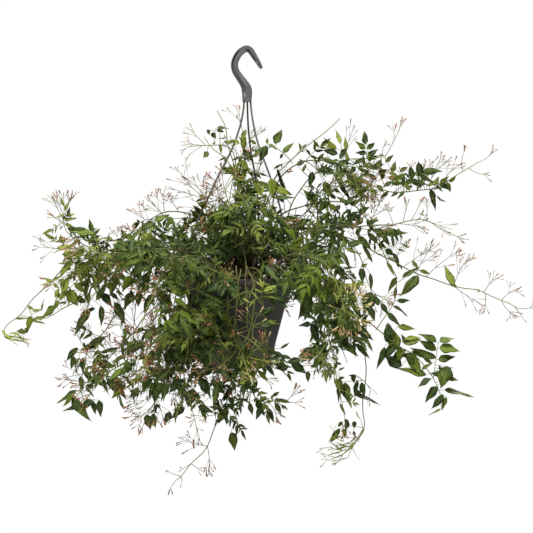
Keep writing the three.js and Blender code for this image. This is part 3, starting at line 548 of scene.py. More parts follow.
@dataclass(frozen=True)
class LeafFinish:
    """Jasmine leaves: dark and satin when old and where shade is painted, yellow-green when young,
    paler underneath.
    """

    old: Colour = (0.022, 0.043, 0.014)
    grown: Colour = (0.112, 0.156, 0.009)
    young: Colour = (0.330, 0.375, 0.062)
    under: Colour = (0.118, 0.160, 0.030)
    rib: Colour = (0.190, 0.232, 0.045)
    mottled: Colour = (0.020, 0.045, 0.012)

    def material(self) -> "bpy.types.Material":
        """Builds the leaf material."""
        n = Nodes("jasmine_leaf")
        along, across, top = n.parts_of("place")
        age, tone, _ = n.parts_of("tint")
        patch = n.noise(38.0, 4.0)
        mottle = n.noise(420.0, 3.0)
        # A low tone, which holds painted shade, blends a leaf towards the old colour.
        grown = n.blend((tone + patch * 0.6 - 0.3).between(0.1, 0.95), self.old, self.grown)
        blade = n.blend(age.between(0.28, 1.12), grown, self.young)
        blade = n.blend(mottle.between(0.35, 0.75) * 0.22, blade, self.mottled)
        veins = ((along * 62.0 - abs(across) * 7.0).sine() * 0.5 + 0.5).between(0.86, 1.0)
        blade = n.blend(veins * 0.20, blade, self.rib)
        rib = 1.0 - abs(across).between(0.03, 0.14)
        blade = n.blend(rib * 0.45, blade, self.rib)
        rim = abs(across).between(0.86, 1.0)
        blade = n.blend(rim * 0.25, blade, self.old)
        colour = n.blend((1.0 - top).between(0.4, 0.9) * 0.7, blade, self.under)
        rough = 0.36 + 0.2 * mottle + (1.0 - top) * 0.2
        height = (1.0 - veins) * 0.5 + (1.0 - rib) * 0.8 + mottle * 0.12
        normal = n.bump(height, 0.55, 0.0006)
        return n.shade(Base_Color=colour, Roughness=rough, Normal=normal,
                       Specular_IOR_Level=0.14)


@dataclass(frozen=True)
class StemFinish:
    """Stems and stalks: green when young, purple-brown and woody near the soil."""

    woody: Colour = (0.120, 0.085, 0.045)
    green: Colour = (0.115, 0.145, 0.032)
    fresh: Colour = (0.270, 0.290, 0.062)
    flushed: Colour = (0.190, 0.098, 0.044)
    grained: Colour = (0.050, 0.040, 0.020)

    def material(self) -> "bpy.types.Material":
        """Builds the stem material."""
        n = Nodes("jasmine_stem")
        _, around, _ = n.parts_of("place")
        age, tone, flush = n.parts_of("tint")
        grain = n.noise(900.0, 2.0)
        patch = n.noise(60.0, 3.0)
        colour = n.blend((age + patch * 0.5 - 0.25).between(0.15, 0.6), self.woody, self.green)
        colour = n.blend(age.between(0.6, 1.0), colour, self.fresh)
        colour = n.blend((flush + patch * 0.6 - 0.3).between(0.2, 0.9), colour, self.flushed)
        # The grain shows more where tone is low; on leaf ribs that tone carries the leaves' painted
        # shade.
        colour = n.blend(grain.between(0.4, 0.8) * 0.3 * (1.2 - tone), colour, self.grained)
        ridges = ((around * FIVE_RIDGES).sine() * 0.5 + 0.5) * 0.4 + grain
        return n.shade(Base_Color=colour, Roughness=0.5 + 0.2 * grain,
                       Normal=n.bump(ridges, 0.5, 0.0002), Specular_IOR_Level=0.15)


@dataclass(frozen=True)
class BudFinish:
    """Closed buds: green at the cup, rosy brown along the tube, paler at the point."""

    cup: Colour = (0.150, 0.170, 0.045)
    tube: Colour = (0.300, 0.108, 0.052)
    dusky: Colour = (0.135, 0.052, 0.028)
    cream: Colour = (0.560, 0.450, 0.200)
    point: Colour = (0.430, 0.240, 0.120)

    def material(self) -> "bpy.types.Material":
        """Builds the bud material."""
        n = Nodes("jasmine_bud")
        along, around, _ = n.parts_of("place")
        pale, tone, _ = n.parts_of("tint")
        speck = n.noise(700.0, 2.0)
        rosy = n.blend((tone + speck * 0.5 - 0.25).between(0.1, 0.9), self.dusky, self.tube)
        colour = n.blend(pale.between(0.2, 0.9), rosy, self.cream)
        colour = n.blend(along.between(0.55, 0.98) * 0.6, colour, self.point)
        colour = n.blend(1.0 - along.between(0.10, 0.22), colour, self.cup)
        ridges = (around * FIVE_RIDGES).sine() * 0.3 + speck * 0.4
        return n.shade(Base_Color=colour, Roughness=0.42 + 0.2 * speck,
                       Normal=n.bump(ridges, 0.4, 0.0002), Specular_IOR_Level=0.18)


@dataclass(frozen=True)
class PotFinish:
    """Injection-moulded pot: matt warm black-brown plastic with fine grain, streaks and dust."""

    plastic: Colour = (0.060, 0.053, 0.049)
    dust: Colour = (0.140, 0.126, 0.112)

    def material(self) -> "bpy.types.Material":
        """Builds the pot material."""
        n = Nodes("pot_plastic")
        grain = n.noise(1400.0, 2.0, 0.6)
        cloud = n.noise(22.0, 4.0)
        upright = n.add("ShaderNodeMapping", {}, {"Vector": n.spot(), "Scale": (90.0, 90.0, 6.0)})
        streak = n.add("ShaderNodeTexNoise", {}, {"Vector": upright, "Scale": 1.0, "Detail": 4.0})
        dusty = (cloud * 0.7 + streak * 0.5).between(0.52, 0.86)
        colour = n.blend(dusty * 0.35, self.plastic, self.dust)
        height = grain * 0.6 + streak * 0.4
        return n.shade(Base_Color=colour, Roughness=0.5 + 0.25 * dusty + 0.1 * grain,
                       Normal=n.bump(height, 0.35, 0.0004), Specular_IOR_Level=0.25)


@dataclass(frozen=True)
class HangerFinish:
    """Moulded hook and strands: mid-grey satin plastic, slightly worn in patches."""

    plastic: Colour = (0.080, 0.081, 0.084)
    worn: Colour = (0.170, 0.171, 0.174)

    def material(self) -> "bpy.types.Material":
        """Builds the hanger material."""
        n = Nodes("hanger_plastic")
        grain = n.noise(1800.0, 2.0, 0.6)
        cloud = n.noise(70.0, 4.0)
        worn = cloud.between(0.48, 0.72)
        colour = n.blend(worn * 0.35, self.plastic, self.worn)
        return n.shade(Base_Color=colour, Roughness=0.42 + 0.2 * worn + 0.08 * grain,
                       Normal=n.bump(grain, 0.12, 0.0002), Specular_IOR_Level=0.4)


@dataclass(frozen=True)
class SoilFinish:
    """Moist peat: dark brown with fibres and paler specks."""

    peat: Colour = (0.022, 0.013, 0.008)
    fibre: Colour = (0.095, 0.058, 0.032)
    perlite: Colour = (0.550, 0.520, 0.470)

    def material(self) -> "bpy.types.Material":
        """Builds the soil material."""
        n = Nodes("peat_soil")
        lumps = n.noise(160.0, 6.0, 0.7)
        fine = n.noise(900.0, 4.0, 0.7)
        tone, _, _ = n.parts_of("tint")
        colour = n.blend((lumps * 0.6 + fine * 0.5).between(0.45, 0.8), self.peat, self.fibre)
        colour = n.blend(tone, colour, self.perlite)
        return n.shade(Base_Color=colour, Roughness=0.9,
                       Normal=n.bump(lumps + fine * 0.6, 0.8, 0.002), Specular_IOR_Level=0.2)


# ------------------------------------------------------------------ driving sizes
POT_X = -14 * MM
SOIL_Z = -375 * MM
STRAND_ANGLES = (192.0, 72.0, -48.0)  # round the pot: left, back and right


@dataclass(frozen=True)
class PotSizes:
    """Sizes of the hanging pot, in metres, as in the frame."""

    rim_z: float = -363 * MM
    rim_radius: float = 95 * MM
    base_radius: float = 51 * MM
    neck_radius: float = 88.5 * MM
    height: float = 142 * MM
    wall: float = 1.8 * MM
    flange: float = 3 * MM
    lip: float = 9 * MM
    floor: float = 2.2 * MM
    foot_round: float = 2.2 * MM  # round the edge of the underside
    rim_round: float = 1.2 * MM  # on the rim's outer edge

    @property
    def base_z(self) -> float:
        """Height of the underside."""
        return self.rim_z - self.height

    def radius(self, z: Array | float) -> Array | float:
        """Outside radius of the wall at a height."""
        share = (z - self.base_z) / self.height
        return self.base_radius + share * (self.neck_radius - self.base_radius)


POT = PotSizes()


def lathe(profile: Array, segments: int, centre_x: float) -> Shell:
    """A solid of revolution about an upright axis: (r cos a, r sin a, z).

    Args:
        profile: Radius and height of each ring, from one end of the outline to the other.
        segments: Points on a ring.
        centre_x: Where the axis stands.

    Returns:
        The surface, closed on the axis at both ends.
    """
    r, z = profile[:, 0], profile[:, 1]
    a = np.arange(segments) * 2 * math.pi / segments
    inner = slice(1, -1)
    ring = np.stack([
        centre_x + r[inner, None] * np.cos(a),
        r[inner, None] * np.sin(a),
        np.broadcast_to(z[inner, None], (len(r) - 2, segments)),
    ], -1)[None]
    ends = np.array([[[centre_x, 0.0, z[0]]], [[centre_x, 0.0, z[-1]]]])
    u = np.linspace(0.0, 1.0, len(r) - 2)
    tint = np.array([[0.0, 0.5, 0.0]])
    return skin(ring, ends[0], ends[1], round_coords(1, u, segments), tint)


@dataclass
class Pot:
    """The plastic pot with its rolled rim, three strand slots and four drain holes."""

    sizes: PotSizes = POT
    segments: int = 112
    slots: tuple[float, ...] = STRAND_ANGLES
    # Width, inner radius and top above the rim, in mm: the slot for a strand, then for its knob.
    slot_cuts: tuple[tuple[float, float, float], ...] = ((4.4, 89.6, 2.0), (9.0, 88.4, -3.0))
    drains: int = 4
    drain_ring: float = 33 * MM
    drain_radius: float = 4 * MM
    drain_sides: int = 20

    def profile(self) -> Array:
        """Radius and height from the middle of the underside, up outside and down inside."""
        s = self.sizes
        under = s.rim_z - s.flange
        lip = s.rim_z - s.lip
        floor = s.base_z + s.floor
        corner = np.linspace(0.0, math.pi / 2, 5)
        base = np.stack([
            s.base_radius - s.foot_round * (1 - np.sin(corner)),
            s.base_z + s.foot_round * (1 - np.cos(corner)),
        ], 1)
        wall_z = np.linspace(s.base_z + 4 * MM, under - 1 * MM, 12)
        wall = np.stack([s.radius(wall_z), wall_z], 1)
        rim = np.stack([
            s.rim_radius - s.rim_round * (1 - np.cos(corner)),
            s.rim_z - s.rim_round * (1 - np.sin(corner)),
        ], 1)
        inside_z = np.linspace(under - 1 * MM, floor + 2 * MM, 8)
        inside = np.stack([s.radius(inside_z) - s.wall, inside_z], 1)
        return np.vstack([
            [[0, s.base_z], [s.base_radius * 0.4, s.base_z], [s.base_radius * 0.85, s.base_z]],
            base, wall,
            [[s.radius(under) + 0.3 * MM, under], [s.rim_radius - s.wall, under],
             [s.rim_radius - s.wall, lip + 0.5 * MM], [s.rim_radius - s.wall + 0.4 * MM, lip],
             [s.rim_radius - 0.5 * MM, lip], [s.rim_radius, lip + 0.6 * MM]],
            rim,
            [[s.neck_radius - s.wall + 1.4 * MM, s.rim_z],
             [s.neck_radius - s.wall + 0.4 * MM, s.rim_z - 0.6 * MM]],
            inside,
            [[s.radius(floor) - s.wall - 1.5 * MM, floor], [0, floor]],
        ])

    def cutters(self) -> list["bpy.types.Object"]:
        """Blocks and rods that cut the strand slots and the drain holes."""
        turns = [math.pi / 4 + i * 2 * math.pi / self.drains for i in range(self.drains)]
        return [self.slot_block(angle, *cut) for angle in np.radians(self.slots)
                for cut in self.slot_cuts] + [self.drain_rod(turn) for turn in turns]

    def slot_block(self, angle: float, width: float, inner: float,
                   top: float) -> "bpy.types.Object":
        """A block across the rim at an angle: width, inner radius and top above the rim in mm."""
        s = self.sizes
        low = np.array([inner * MM, -width / 2 * MM, s.rim_z + (top - 20) * MM])
        high = np.array([s.rim_radius + 5 * MM, width / 2 * MM, s.rim_z + top * MM])
        pick = np.array([[(i >> k) & 1 for k in range(3)] for i in range(8)])
        turn = np.array([[math.cos(angle), math.sin(angle), 0],
                         [-math.sin(angle), math.cos(angle), 0], [0, 0, 1]])
        corners = np.where(pick == 1, high, low) @ turn + [POT_X, 0, 0]
        faces = [(0, 2, 3, 1), (4, 5, 7, 6), (0, 1, 5, 4), (2, 6, 7, 3), (0, 4, 6, 2), (1, 3, 7, 5)]
        return self.cutter(corners, faces)

    def drain_rod(self, turn: float) -> "bpy.types.Object":
        """An upright rod through the floor, at an angle round the pot in radians."""
        n = self.drain_sides
        a = np.arange(n) * 2 * math.pi / n
        x = POT_X + self.drain_ring * math.cos(turn) + self.drain_radius * np.cos(a)
        y = self.drain_ring * math.sin(turn) + self.drain_radius * np.sin(a)
        low = np.stack([x, y, np.full(n, self.sizes.base_z - 5 * MM)], 1)
        high = low + [0, 0, 9 * MM]
        faces = [tuple(range(n - 1, -1, -1)), tuple(range(n, 2 * n))]
        faces += [(k, (k + 1) % n, n + (k + 1) % n, n + k) for k in range(n)]
        return self.cutter(np.vstack([low, high]), faces)

    @staticmethod
    def cutter(points: Array, faces: list[tuple[int, ...]]) -> "bpy.types.Object":
        """A helper object that a Boolean modifier takes away."""
        mesh = bpy.data.meshes.new("cutter")
        mesh.from_pydata(points.tolist(), [], faces)
        tool = bpy.data.objects.new("cutter", mesh)
        bpy.context.scene.collection.objects.link(tool)
        return tool

    def build(self, material: "bpy.types.Material") -> None:
        """Makes the pot and cuts its slots and holes."""
        shell = lathe(self.profile(), self.segments, POT_X)
        piece = make_object("hanging_pot", [(shell, material)], ["pot"])
        tools = self.cutters()
        for tool in tools:
            cut = piece.modifiers.new("cut", "BOOLEAN")
            cut.operation = "DIFFERENCE"
            cut.solver = "EXACT"
            cut.object = tool
        depsgraph = bpy.context.evaluated_depsgraph_get()
        finished = bpy.data.meshes.new_from_object(piece.evaluated_get(depsgraph))
        piece.modifiers.clear()
        piece.data = finished
        for tool in tools:
            bpy.data.objects.remove(tool)
        finished.shade_smooth()
        finished.set_sharp_from_angle(angle=math.radians(38))


@dataclass
class Soil:
    """Crumbly peat that fills the pot, with loose crumbs and a few pale grains on top."""

    top_z: float = SOIL_Z
    crown: float = 4 * MM
    gap: float = 0.6 * MM  # to the pot's wall at the top
    crumbs: int = 260
    crumb_ring: float = 80 * MM
    pale_share: float = 0.12

    def surface(self) -> Shell:
        """A domed disc whose height carries layered sines and a seeded jitter, closed below."""
        rng = np.random.default_rng(5)
        edge = POT.radius(self.top_z) - POT.wall - self.gap
        bottom = POT.base_z + POT.floor + 0.4 * MM
        segments = 120
        radii = edge * np.linspace(1.0, 0.03, 34)
        a = np.arange(segments) * 2 * math.pi / segments
        x = POT_X + radii[:, None] * np.cos(a)
        y = radii[:, None] * np.sin(a)
        dome = self.crown * (1 - (radii / edge) ** 2)[:, None]
        lumps = 1.3 * MM * np.sin(x * 410 + 2.0 * np.sin(y * 260)) * np.sin(y * 370 + 1.0)
        lumps = lumps + 0.9 * MM * np.sin(x * 900 + 3) * np.sin(y * 840)
        lumps = lumps + rng.normal(0, 0.55 * MM, x.shape)
        fade = smooth(1 - radii / edge, 0.0, 0.06)[:, None]
        z = self.top_z + dome + lumps * fade
        top = np.stack([x, y, z], -1)
        low_radius = POT.radius(bottom) - POT.wall - 0.8 * MM
        middle = ((edge + low_radius) / 2, (self.top_z + bottom) / 2)
        walls = [np.stack([POT_X + r * np.cos(a), r * np.sin(a), np.full(segments, h)], -1)
                 for r, h in ((low_radius, bottom), middle)]
        rings = np.concatenate([np.stack(walls), top])[None]
        start = np.array([[POT_X, 0, bottom]])
        end = np.array([[POT_X, 0, self.top_z + self.crown]])
        u = np.linspace(0, 1, rings.shape[1])
        return skin(rings, start, end, round_coords(1, u, segments), np.zeros((1, 3)))

    def grains(self) -> Shell:
        """Small rounded lumps strewn over the top, a few of them pale perlite."""
        rng = np.random.default_rng(8)
        n = self.crumbs
        r = self.crumb_ring * np.sqrt(rng.random(n))
        a = rng.random(n) * 2 * math.pi
        height = self.top_z + self.crown * (1 - (r / (86 * MM)) ** 2) + 1.0 * MM
        centre = np.stack([POT_X + r * np.cos(a), r * np.sin(a), height], 1)
        size = rng.uniform(1.0, 3.0, n) * MM
        aim = unit(rng.normal(size=(n, 3)))
        pale = (rng.random(n) < self.pale_share).astype(float)
        tint = np.stack([pale * 0.9, np.full(n, 0.5), np.zeros(n)], 1)
        return buds(centre - aim * size[:, None] * 0.5, aim, size, size * 0.55,
                    rng.normal(0, 0.2, (n, 3)) * size[:, None], tint)

    def build(self, material: "bpy.types.Material") -> None:
        """Makes the soil and its crumbs."""
        make_object("peat", [(self.surface(), material)], ["soil"])
        make_object("peat_crumbs", [(self.grains(), material)])


@dataclass(frozen=True)
class Strand:
    """A strand of the hanger: where it leaves the hook's foot and where it passes."""

    angle: float  # of its notch in the rim, in degrees
    aside: float  # along X from the middle of the hook's foot, in millimetres
    way: tuple[tuple[float, float], ...]  # x and z in millimetres


STRANDS = (
    Strand(STRAND_ANGLES[0], -5.3, (
        (-6.4, -105.6), (-10.4, -121.6), (-21.6, -153.6), (-43.2, -196.8), (-59.7, -232),
        (-81.6, -281.6), (-97, -325))),
    Strand(STRAND_ANGLES[1], 0.0, (
        (3.7, -121.6), (8, -160), (14.5, -197), (19, -240), (20, -290), (17, -330))),
    Strand(STRAND_ANGLES[2], 5.4, (
        (11.2, -112), (18.4, -144), (29.6, -176), (41.6, -209.6), (54, -249.6), (58.6, -285),
        (55, -325))),
)


@dataclass
class Hanger:
    """The moulded hanger: an open hook with grooved flats, and three strands with end knobs.

    Sizes are in millimetres.
    """

    hook_x: float = 2.1
    depth: float = 8.0
    foot_depth: float = 13.5
    strand: float = 3.0
    strand_sides: int = 14
    strand_step: float = 4.0
    strand_top: float = -75.0
    strand_start: float = 8.0  # straight down below its top
    strand_spread: float = 1.5  # along Y on the hook's foot
    bow_out: float = 1.2  # power of the way down by which it nears the rim
    foot_span: tuple[float, float] = (0.62, 0.86)  # shares of its length, where it deepens
    outer_groove: tuple[float, ...] = (0.35, 0.42, 0.88, 0.95)  # begins, is full, fades, ends
    inner_groove: tuple[float, ...] = (0.06, 0.11, 0.26, 0.32)
    seat_radius: float = 91.8
    seat_rise: float = 10.0  # above the rim, where a strand turns straight down
    knob_drop: float = 3.3  # below the rim
    # Depth below the knob's neck, and radius there.
    knob: tuple[tuple[float, float], ...] = ((0.05, 2.9), (0.6, 3.3), (3.6, 2.8), (5.0, 2.0))
    # x, z and width along the hook, from its open end.
    line: tuple[tuple[float, float, float], ...] = (
        (25.1, -26.4, 5.0), (20.0, -17.6, 7.4), (12.0, -4.8, 9.6), (6.4, 3.2, 10.2),
        (0.8, 5.4, 10.6), (-8.0, 0.8, 11.0), (-15.6, -9.6, 11.2), (-18.4, -20.2, 11.4),
        (-16.4, -30.4, 11.8), (-10.4, -40.0, 12.2), (-3.6, -49.6, 13.6), (0.9, -58.8, 16.4),
        (1.7, -68.4, 16.0), (1.2, -79.6, 13.8),
    )

    def section(self) -> tuple[Array, Array]:
        """The hook's section, from one edge over the front to the other and back behind.

        Returns:
            Its corners as shares of half the width and half the depth, and which groove each
            belongs to: 1 for the one by its outer edge, 2 for the one by its inner edge.
        """
        front = [(1.0, 0.0, 0), (1.0, 0.60, 0), (0.96, 0.86, 0), (0.86, 1.0, 0),
                 (0.82, 1.0, 2), (0.78, 0.94, 2), (0.74, 0.12, 2), (0.30, 0.10, 2),
                 (0.26, 0.94, 2), (0.21, 1.0, 2), (-0.17, 1.0, 1), (-0.22, 0.94, 1),
                 (-0.26, 0.10, 1), (-0.74, 0.12, 1), (-0.78, 0.94, 1), (-0.82, 1.0, 1),
                 (-0.90, 0.97, 0), (-0.97, 0.82, 0), (-1.0, 0.60, 0), (-1.0, 0.0, 0)]
        half = np.array(front)
        whole = np.vstack([half, half[1:-1][::-1] * [1, -1, 1]])
        return whole[:, :2], whole[:, 2]

    def hook(self) -> Shell:
        """The section carried along the hook's line, with its width, depth and grooves."""
        data = np.array(self.line)
        path = spline(np.stack([data[:, 0], 0 * data[:, 0], data[:, 1]], 1), 1.3)
        along = np.linspace(0, 1, len(path))
        at = np.concatenate([[0], np.cumsum(np.hypot(*np.diff(data[:, :2], axis=0).T))])
        width = np.interp(along, at / at[-1], data[:, 2])
        width = np.convolve(np.pad(width, 3, mode="edge"), np.full(7, 1 / 7), "valid")
        foot = smooth(along, *self.foot_span)
        depth = self.depth + (self.foot_depth - self.depth) * foot
        depth = depth * (0.6 + 0.4 * smooth(along, 0, 0.12))
        round_end = np.sqrt(np.clip(1 - (1 - np.clip(along / 0.012, 0, 1)) ** 2, 0.1, 1))
        tangent = unit(np.gradient(path, axis=0))
        across = np.stack([-tangent[:, 2], 0 * along, tangent[:, 0]], 1)
        section, groove = self.section()
        outer = window(along, *self.outer_groove)
        inner = window(along, *self.inner_groove)
        open_share = np.select([groove[None] == 1, groove[None] == 2],
                               [outer[:, None], inner[:, None]], 1.0)
        level = np.sign(section[:, 1]) * np.where(groove > 0, 1.0, np.abs(section[:, 1]))
        v = level[None] + (section[None, :, 1] - level[None]) * open_share
        ring = (
            path[:, None]
            + across[:, None] * (section[None, :, 0] * (width * round_end)[:, None] / 2)[..., None]
            + np.array([0, 1.0, 0]) * (v * (depth * round_end)[:, None] / 2)[..., None]
        )
        facing = np.cross(across[0], [0, 1.0, 0]) @ tangent[0]
        ring = ring if facing > 0 else ring[:, ::-1]
        u = np.linspace(0, 1, len(path))
        return skin(ring[None] * MM, path[:1] * MM, path[-1:] * MM,
                    round_coords(1, u, len(section)), np.zeros((1, 3)))

    def strands(self) -> Shell:
        """Round strands from the hook's foot to the pot's rim, each with a knob under the rim."""
        return Shell.join([self.one_strand(strand) for strand in STRANDS])

    def one_strand(self, strand: Strand) -> Shell:
        """A round strand with its knob."""
        turn = math.radians(strand.angle)
        aim = np.array([math.cos(turn), math.sin(turn)])
        top = np.array([self.hook_x + strand.aside, self.strand_spread * aim[1], self.strand_top])
        seat = np.array([POT_X / MM + self.seat_radius * aim[0], self.seat_radius * aim[1]])
        seat_z = POT.rim_z / MM + self.seat_rise
        under = POT.rim_z / MM - self.knob_drop
        x, z = np.array(strand.way).T
        fall = ((self.strand_top - z) / (self.strand_top - seat_z)) ** self.bow_out
        middle = np.stack([x, top[1] + (seat[1] - top[1]) * fall, z], 1)
        start = [top, top - [0, 0, self.strand_start]]
        ends = [[*seat, seat_z], [*seat, under]]
        path = spline(np.vstack([start, middle, ends]), self.strand_step)
        radius = np.full(len(path), self.strand / 2)
        path = np.vstack([path, [[*seat, under - drop] for drop, _ in self.knob]])
        radius = np.concatenate([radius, [size for _, size in self.knob]])
        tangent = unit(np.gradient(path, axis=0))
        tangent[-5:] = [0, 0, -1]
        side = np.array([[-aim[1], aim[0], 0.0]])
        rings = rings_round(path[None], tangent[None], radius[None], side, self.strand_sides)
        coords = round_coords(1, np.linspace(0, 1, len(path)), self.strand_sides)
        return skin(rings * MM, path[:1] * MM, path[-1:] * MM, coords, np.zeros((1, 3)))

    def build(self, material: "bpy.types.Material") -> None:
        """Makes the hook and the strands."""
        hook = make_object("hanger_hook", [(self.hook(), material)], ["hook"])
        strands = make_object("hanger_strands", [(self.strands(), material)],
                              ["strand_left", "strand_back", "strand_right"])
        for piece in (hook, strands):
            piece.data.set_sharp_from_angle(angle=math.radians(50))


# ------------------------------------------------------------------ the plant's plan
class Sector(Enum):
    """Parts of the plant whose leaves, stems and sprays are made together."""

    RIGHT_UPPER = "right_upper"
    RIGHT_LOWER = "right_lower"
    TOP = "top"
    LEFT_UPPER = "left_upper"
    LEFT_LOWER = "left_lower"
    FRONT = "front"
    BACK = "back"


R_UP, R_LOW, TOP = Sector.RIGHT_UPPER, Sector.RIGHT_LOWER, Sector.TOP
L_UP, L_LOW, FRONT, BACK = Sector.LEFT_UPPER, Sector.LEFT_LOWER, Sector.FRONT, Sector.BACK


def rows(notes: str) -> Array:
    """Numbers written row by row, with a comma between two rows."""
    return np.array([[float(word) for word in row.split()] for row in notes.split(",") if row])


PIXEL = 1.6  # millimetres to a pixel of the front view
SEAT_ACROSS, SEAT_DOWN = 246, 52  # the pixel of the hook's seat, where the origin lies
PATH_STOPS = 21  # places on a stretch of a path that are tried for the closest one


def seen(notes: str, pairs: int = 1) -> Array:
    """Rows that begin with pixels of the front view, turned into x and z in whole millimetres.

    Args:
        notes: The rows. pairs: How many places a row begins with, each as across and down.
    """
    table = rows(notes)
    for column in range(0, 2 * pairs if notes else 0, 2):
        table[:, column] = np.rint((table[:, column] - SEAT_ACROSS) * PIXEL)
        table[:, column + 1] = np.rint((SEAT_DOWN - table[:, column + 1]) * PIXEL)
    return table


@dataclass(frozen=True)
class Vine:
    """A leafy stem: the points that it passes, and how it is dressed.

    Lengths are in millimetres, and angles in degrees from +X towards +Z. Places are pixels of the
    front view, across and down, but a path is noted in millimetres unless the stem is extra.
    """

    name: str
    sector: Sector
    path: str  # x, y, z; of an extra stem across, down, y
    bare: float = 0.15  # share of its length before its leaves begin
    full: float = 1.0  # share where they end
    size: float = 0.9  # of its leaves
    youth: float = 0.3  # how young its leaves are at its tip
    shoots: float = 0.3  # share of its nodes that carry a side shoot
    gap: float = 30.0  # between its nodes
    sprays: str = ""  # share of its length, length, paleness
    stalks: str = ""  # across, down, angle, length, paleness of set sprays
    leaves: str = ""  # across, down, angle, size, youth of set leaves
    blades: str = ""  # foot, tip, youth, width share of set leaflets
    ribs: str = ""  # foot, end of ribs that carry set leaflets
    own_spray: bool = False  # its sprays have a node of their own in the frame
    extra: bool = False  # a filling stem that has no node of its own

    def points(self) -> Array:
        """The points of its path, in millimetres."""
        if not self.extra:
            return rows(self.path)
        x, z, y = seen(self.path).T
        return np.stack([x, y, z], 1)

    def gaps(self, feet: Array) -> Array:
        """How closely its path passes places in the front view, given by x and z in columns."""
        path = self.points()[:, [0, 2]]
        share = np.linspace(0, 1, PATH_STOPS)[:, None, None]
        line = (path[:-1] + (path[1:] - path[:-1]) * share).reshape(-1, 1, 2)
        return np.linalg.norm(line - feet[:, :2], axis=2).min(axis=0)


# Ellipses that stay free of leaves in the front view: across, down, half width, half height.
CLEARINGS = seen("""
    114 220 14 10, 168 203 22 15, 296 196 9 24, 392 207 15 8, 430 211 20 11, 372 264 13 14,
    378 280 14 9, 140 314 27 12, 117 332 7 9, 176 299 10 9, 296 317 9 14, 301 333 13 9, 288 352 9 12,
    67 330 8 18, 381 379 16 12, 331 393 8 13, 300 412 12 10, 261 381 7 9, 386 205 12 10,
    100 322 14 9, 66 338 8 14, 52 414 12 18, 110 428 16 18, 188 420 9 10, 215 178 8 9, 284 168 7 9,
    300 145 6 6, 292 210 9 10, 262 116 10 12, 226 112 12 10, 386 270 8 9, 462 197 20 9, 341 352 5 7,
    52 393 13 18, 92 430 14 14, 241 444 13 10, 355 410 7 9, 438 428 22 16, 490 404 14 14,
    408 392 10 22, 370 366 9 14, 180 429 9 10, 211 184 10 9, 455 125 22 24, 185 138 16 20,
    290 140 8 14, 425 300 24 22, 345 368 10 8, 272 320 12 24, 306 120 14 18, 391 142 10 10,
    412 197 12 8, 480 188 26 12, 383 205 14 11, 222 186 12 14, 131 213 14 6, 67 384 8 12,
    137 420 10 9, 262 438 9 20, 310 392 16 14, 30 290 20 18, 120 200 40 14, 112 231 13 5,
    300 185 8 16, 274 377 13 11, 57 262 7 12, 330 178 6 5, 348 192 6 5, 234 442 16 9, 24 240 18 16,
    44 264 10 10, 40 226 12 8, 188 176 14 12, 172 180 14 10, 166 196 10 8, 302 340 8 8, 284 204 6 7,
    318 176 5 5, 254 322 22 20, 277 324 11 22, 292 430 24 22, 160 440 12 18, 386 204 10 8,
    436 126 10 10""")
CLEARINGS[:, 2:] = np.rint(CLEARINGS[:, 2:] * PIXEL)
# The shade above the pot's rim, in millimetres, where only the leaves in front are left out.
HOLLOW = (24, -337, 54, 14)
HOLLOW_BACK = -10 * MM  # leaves further back than this stay

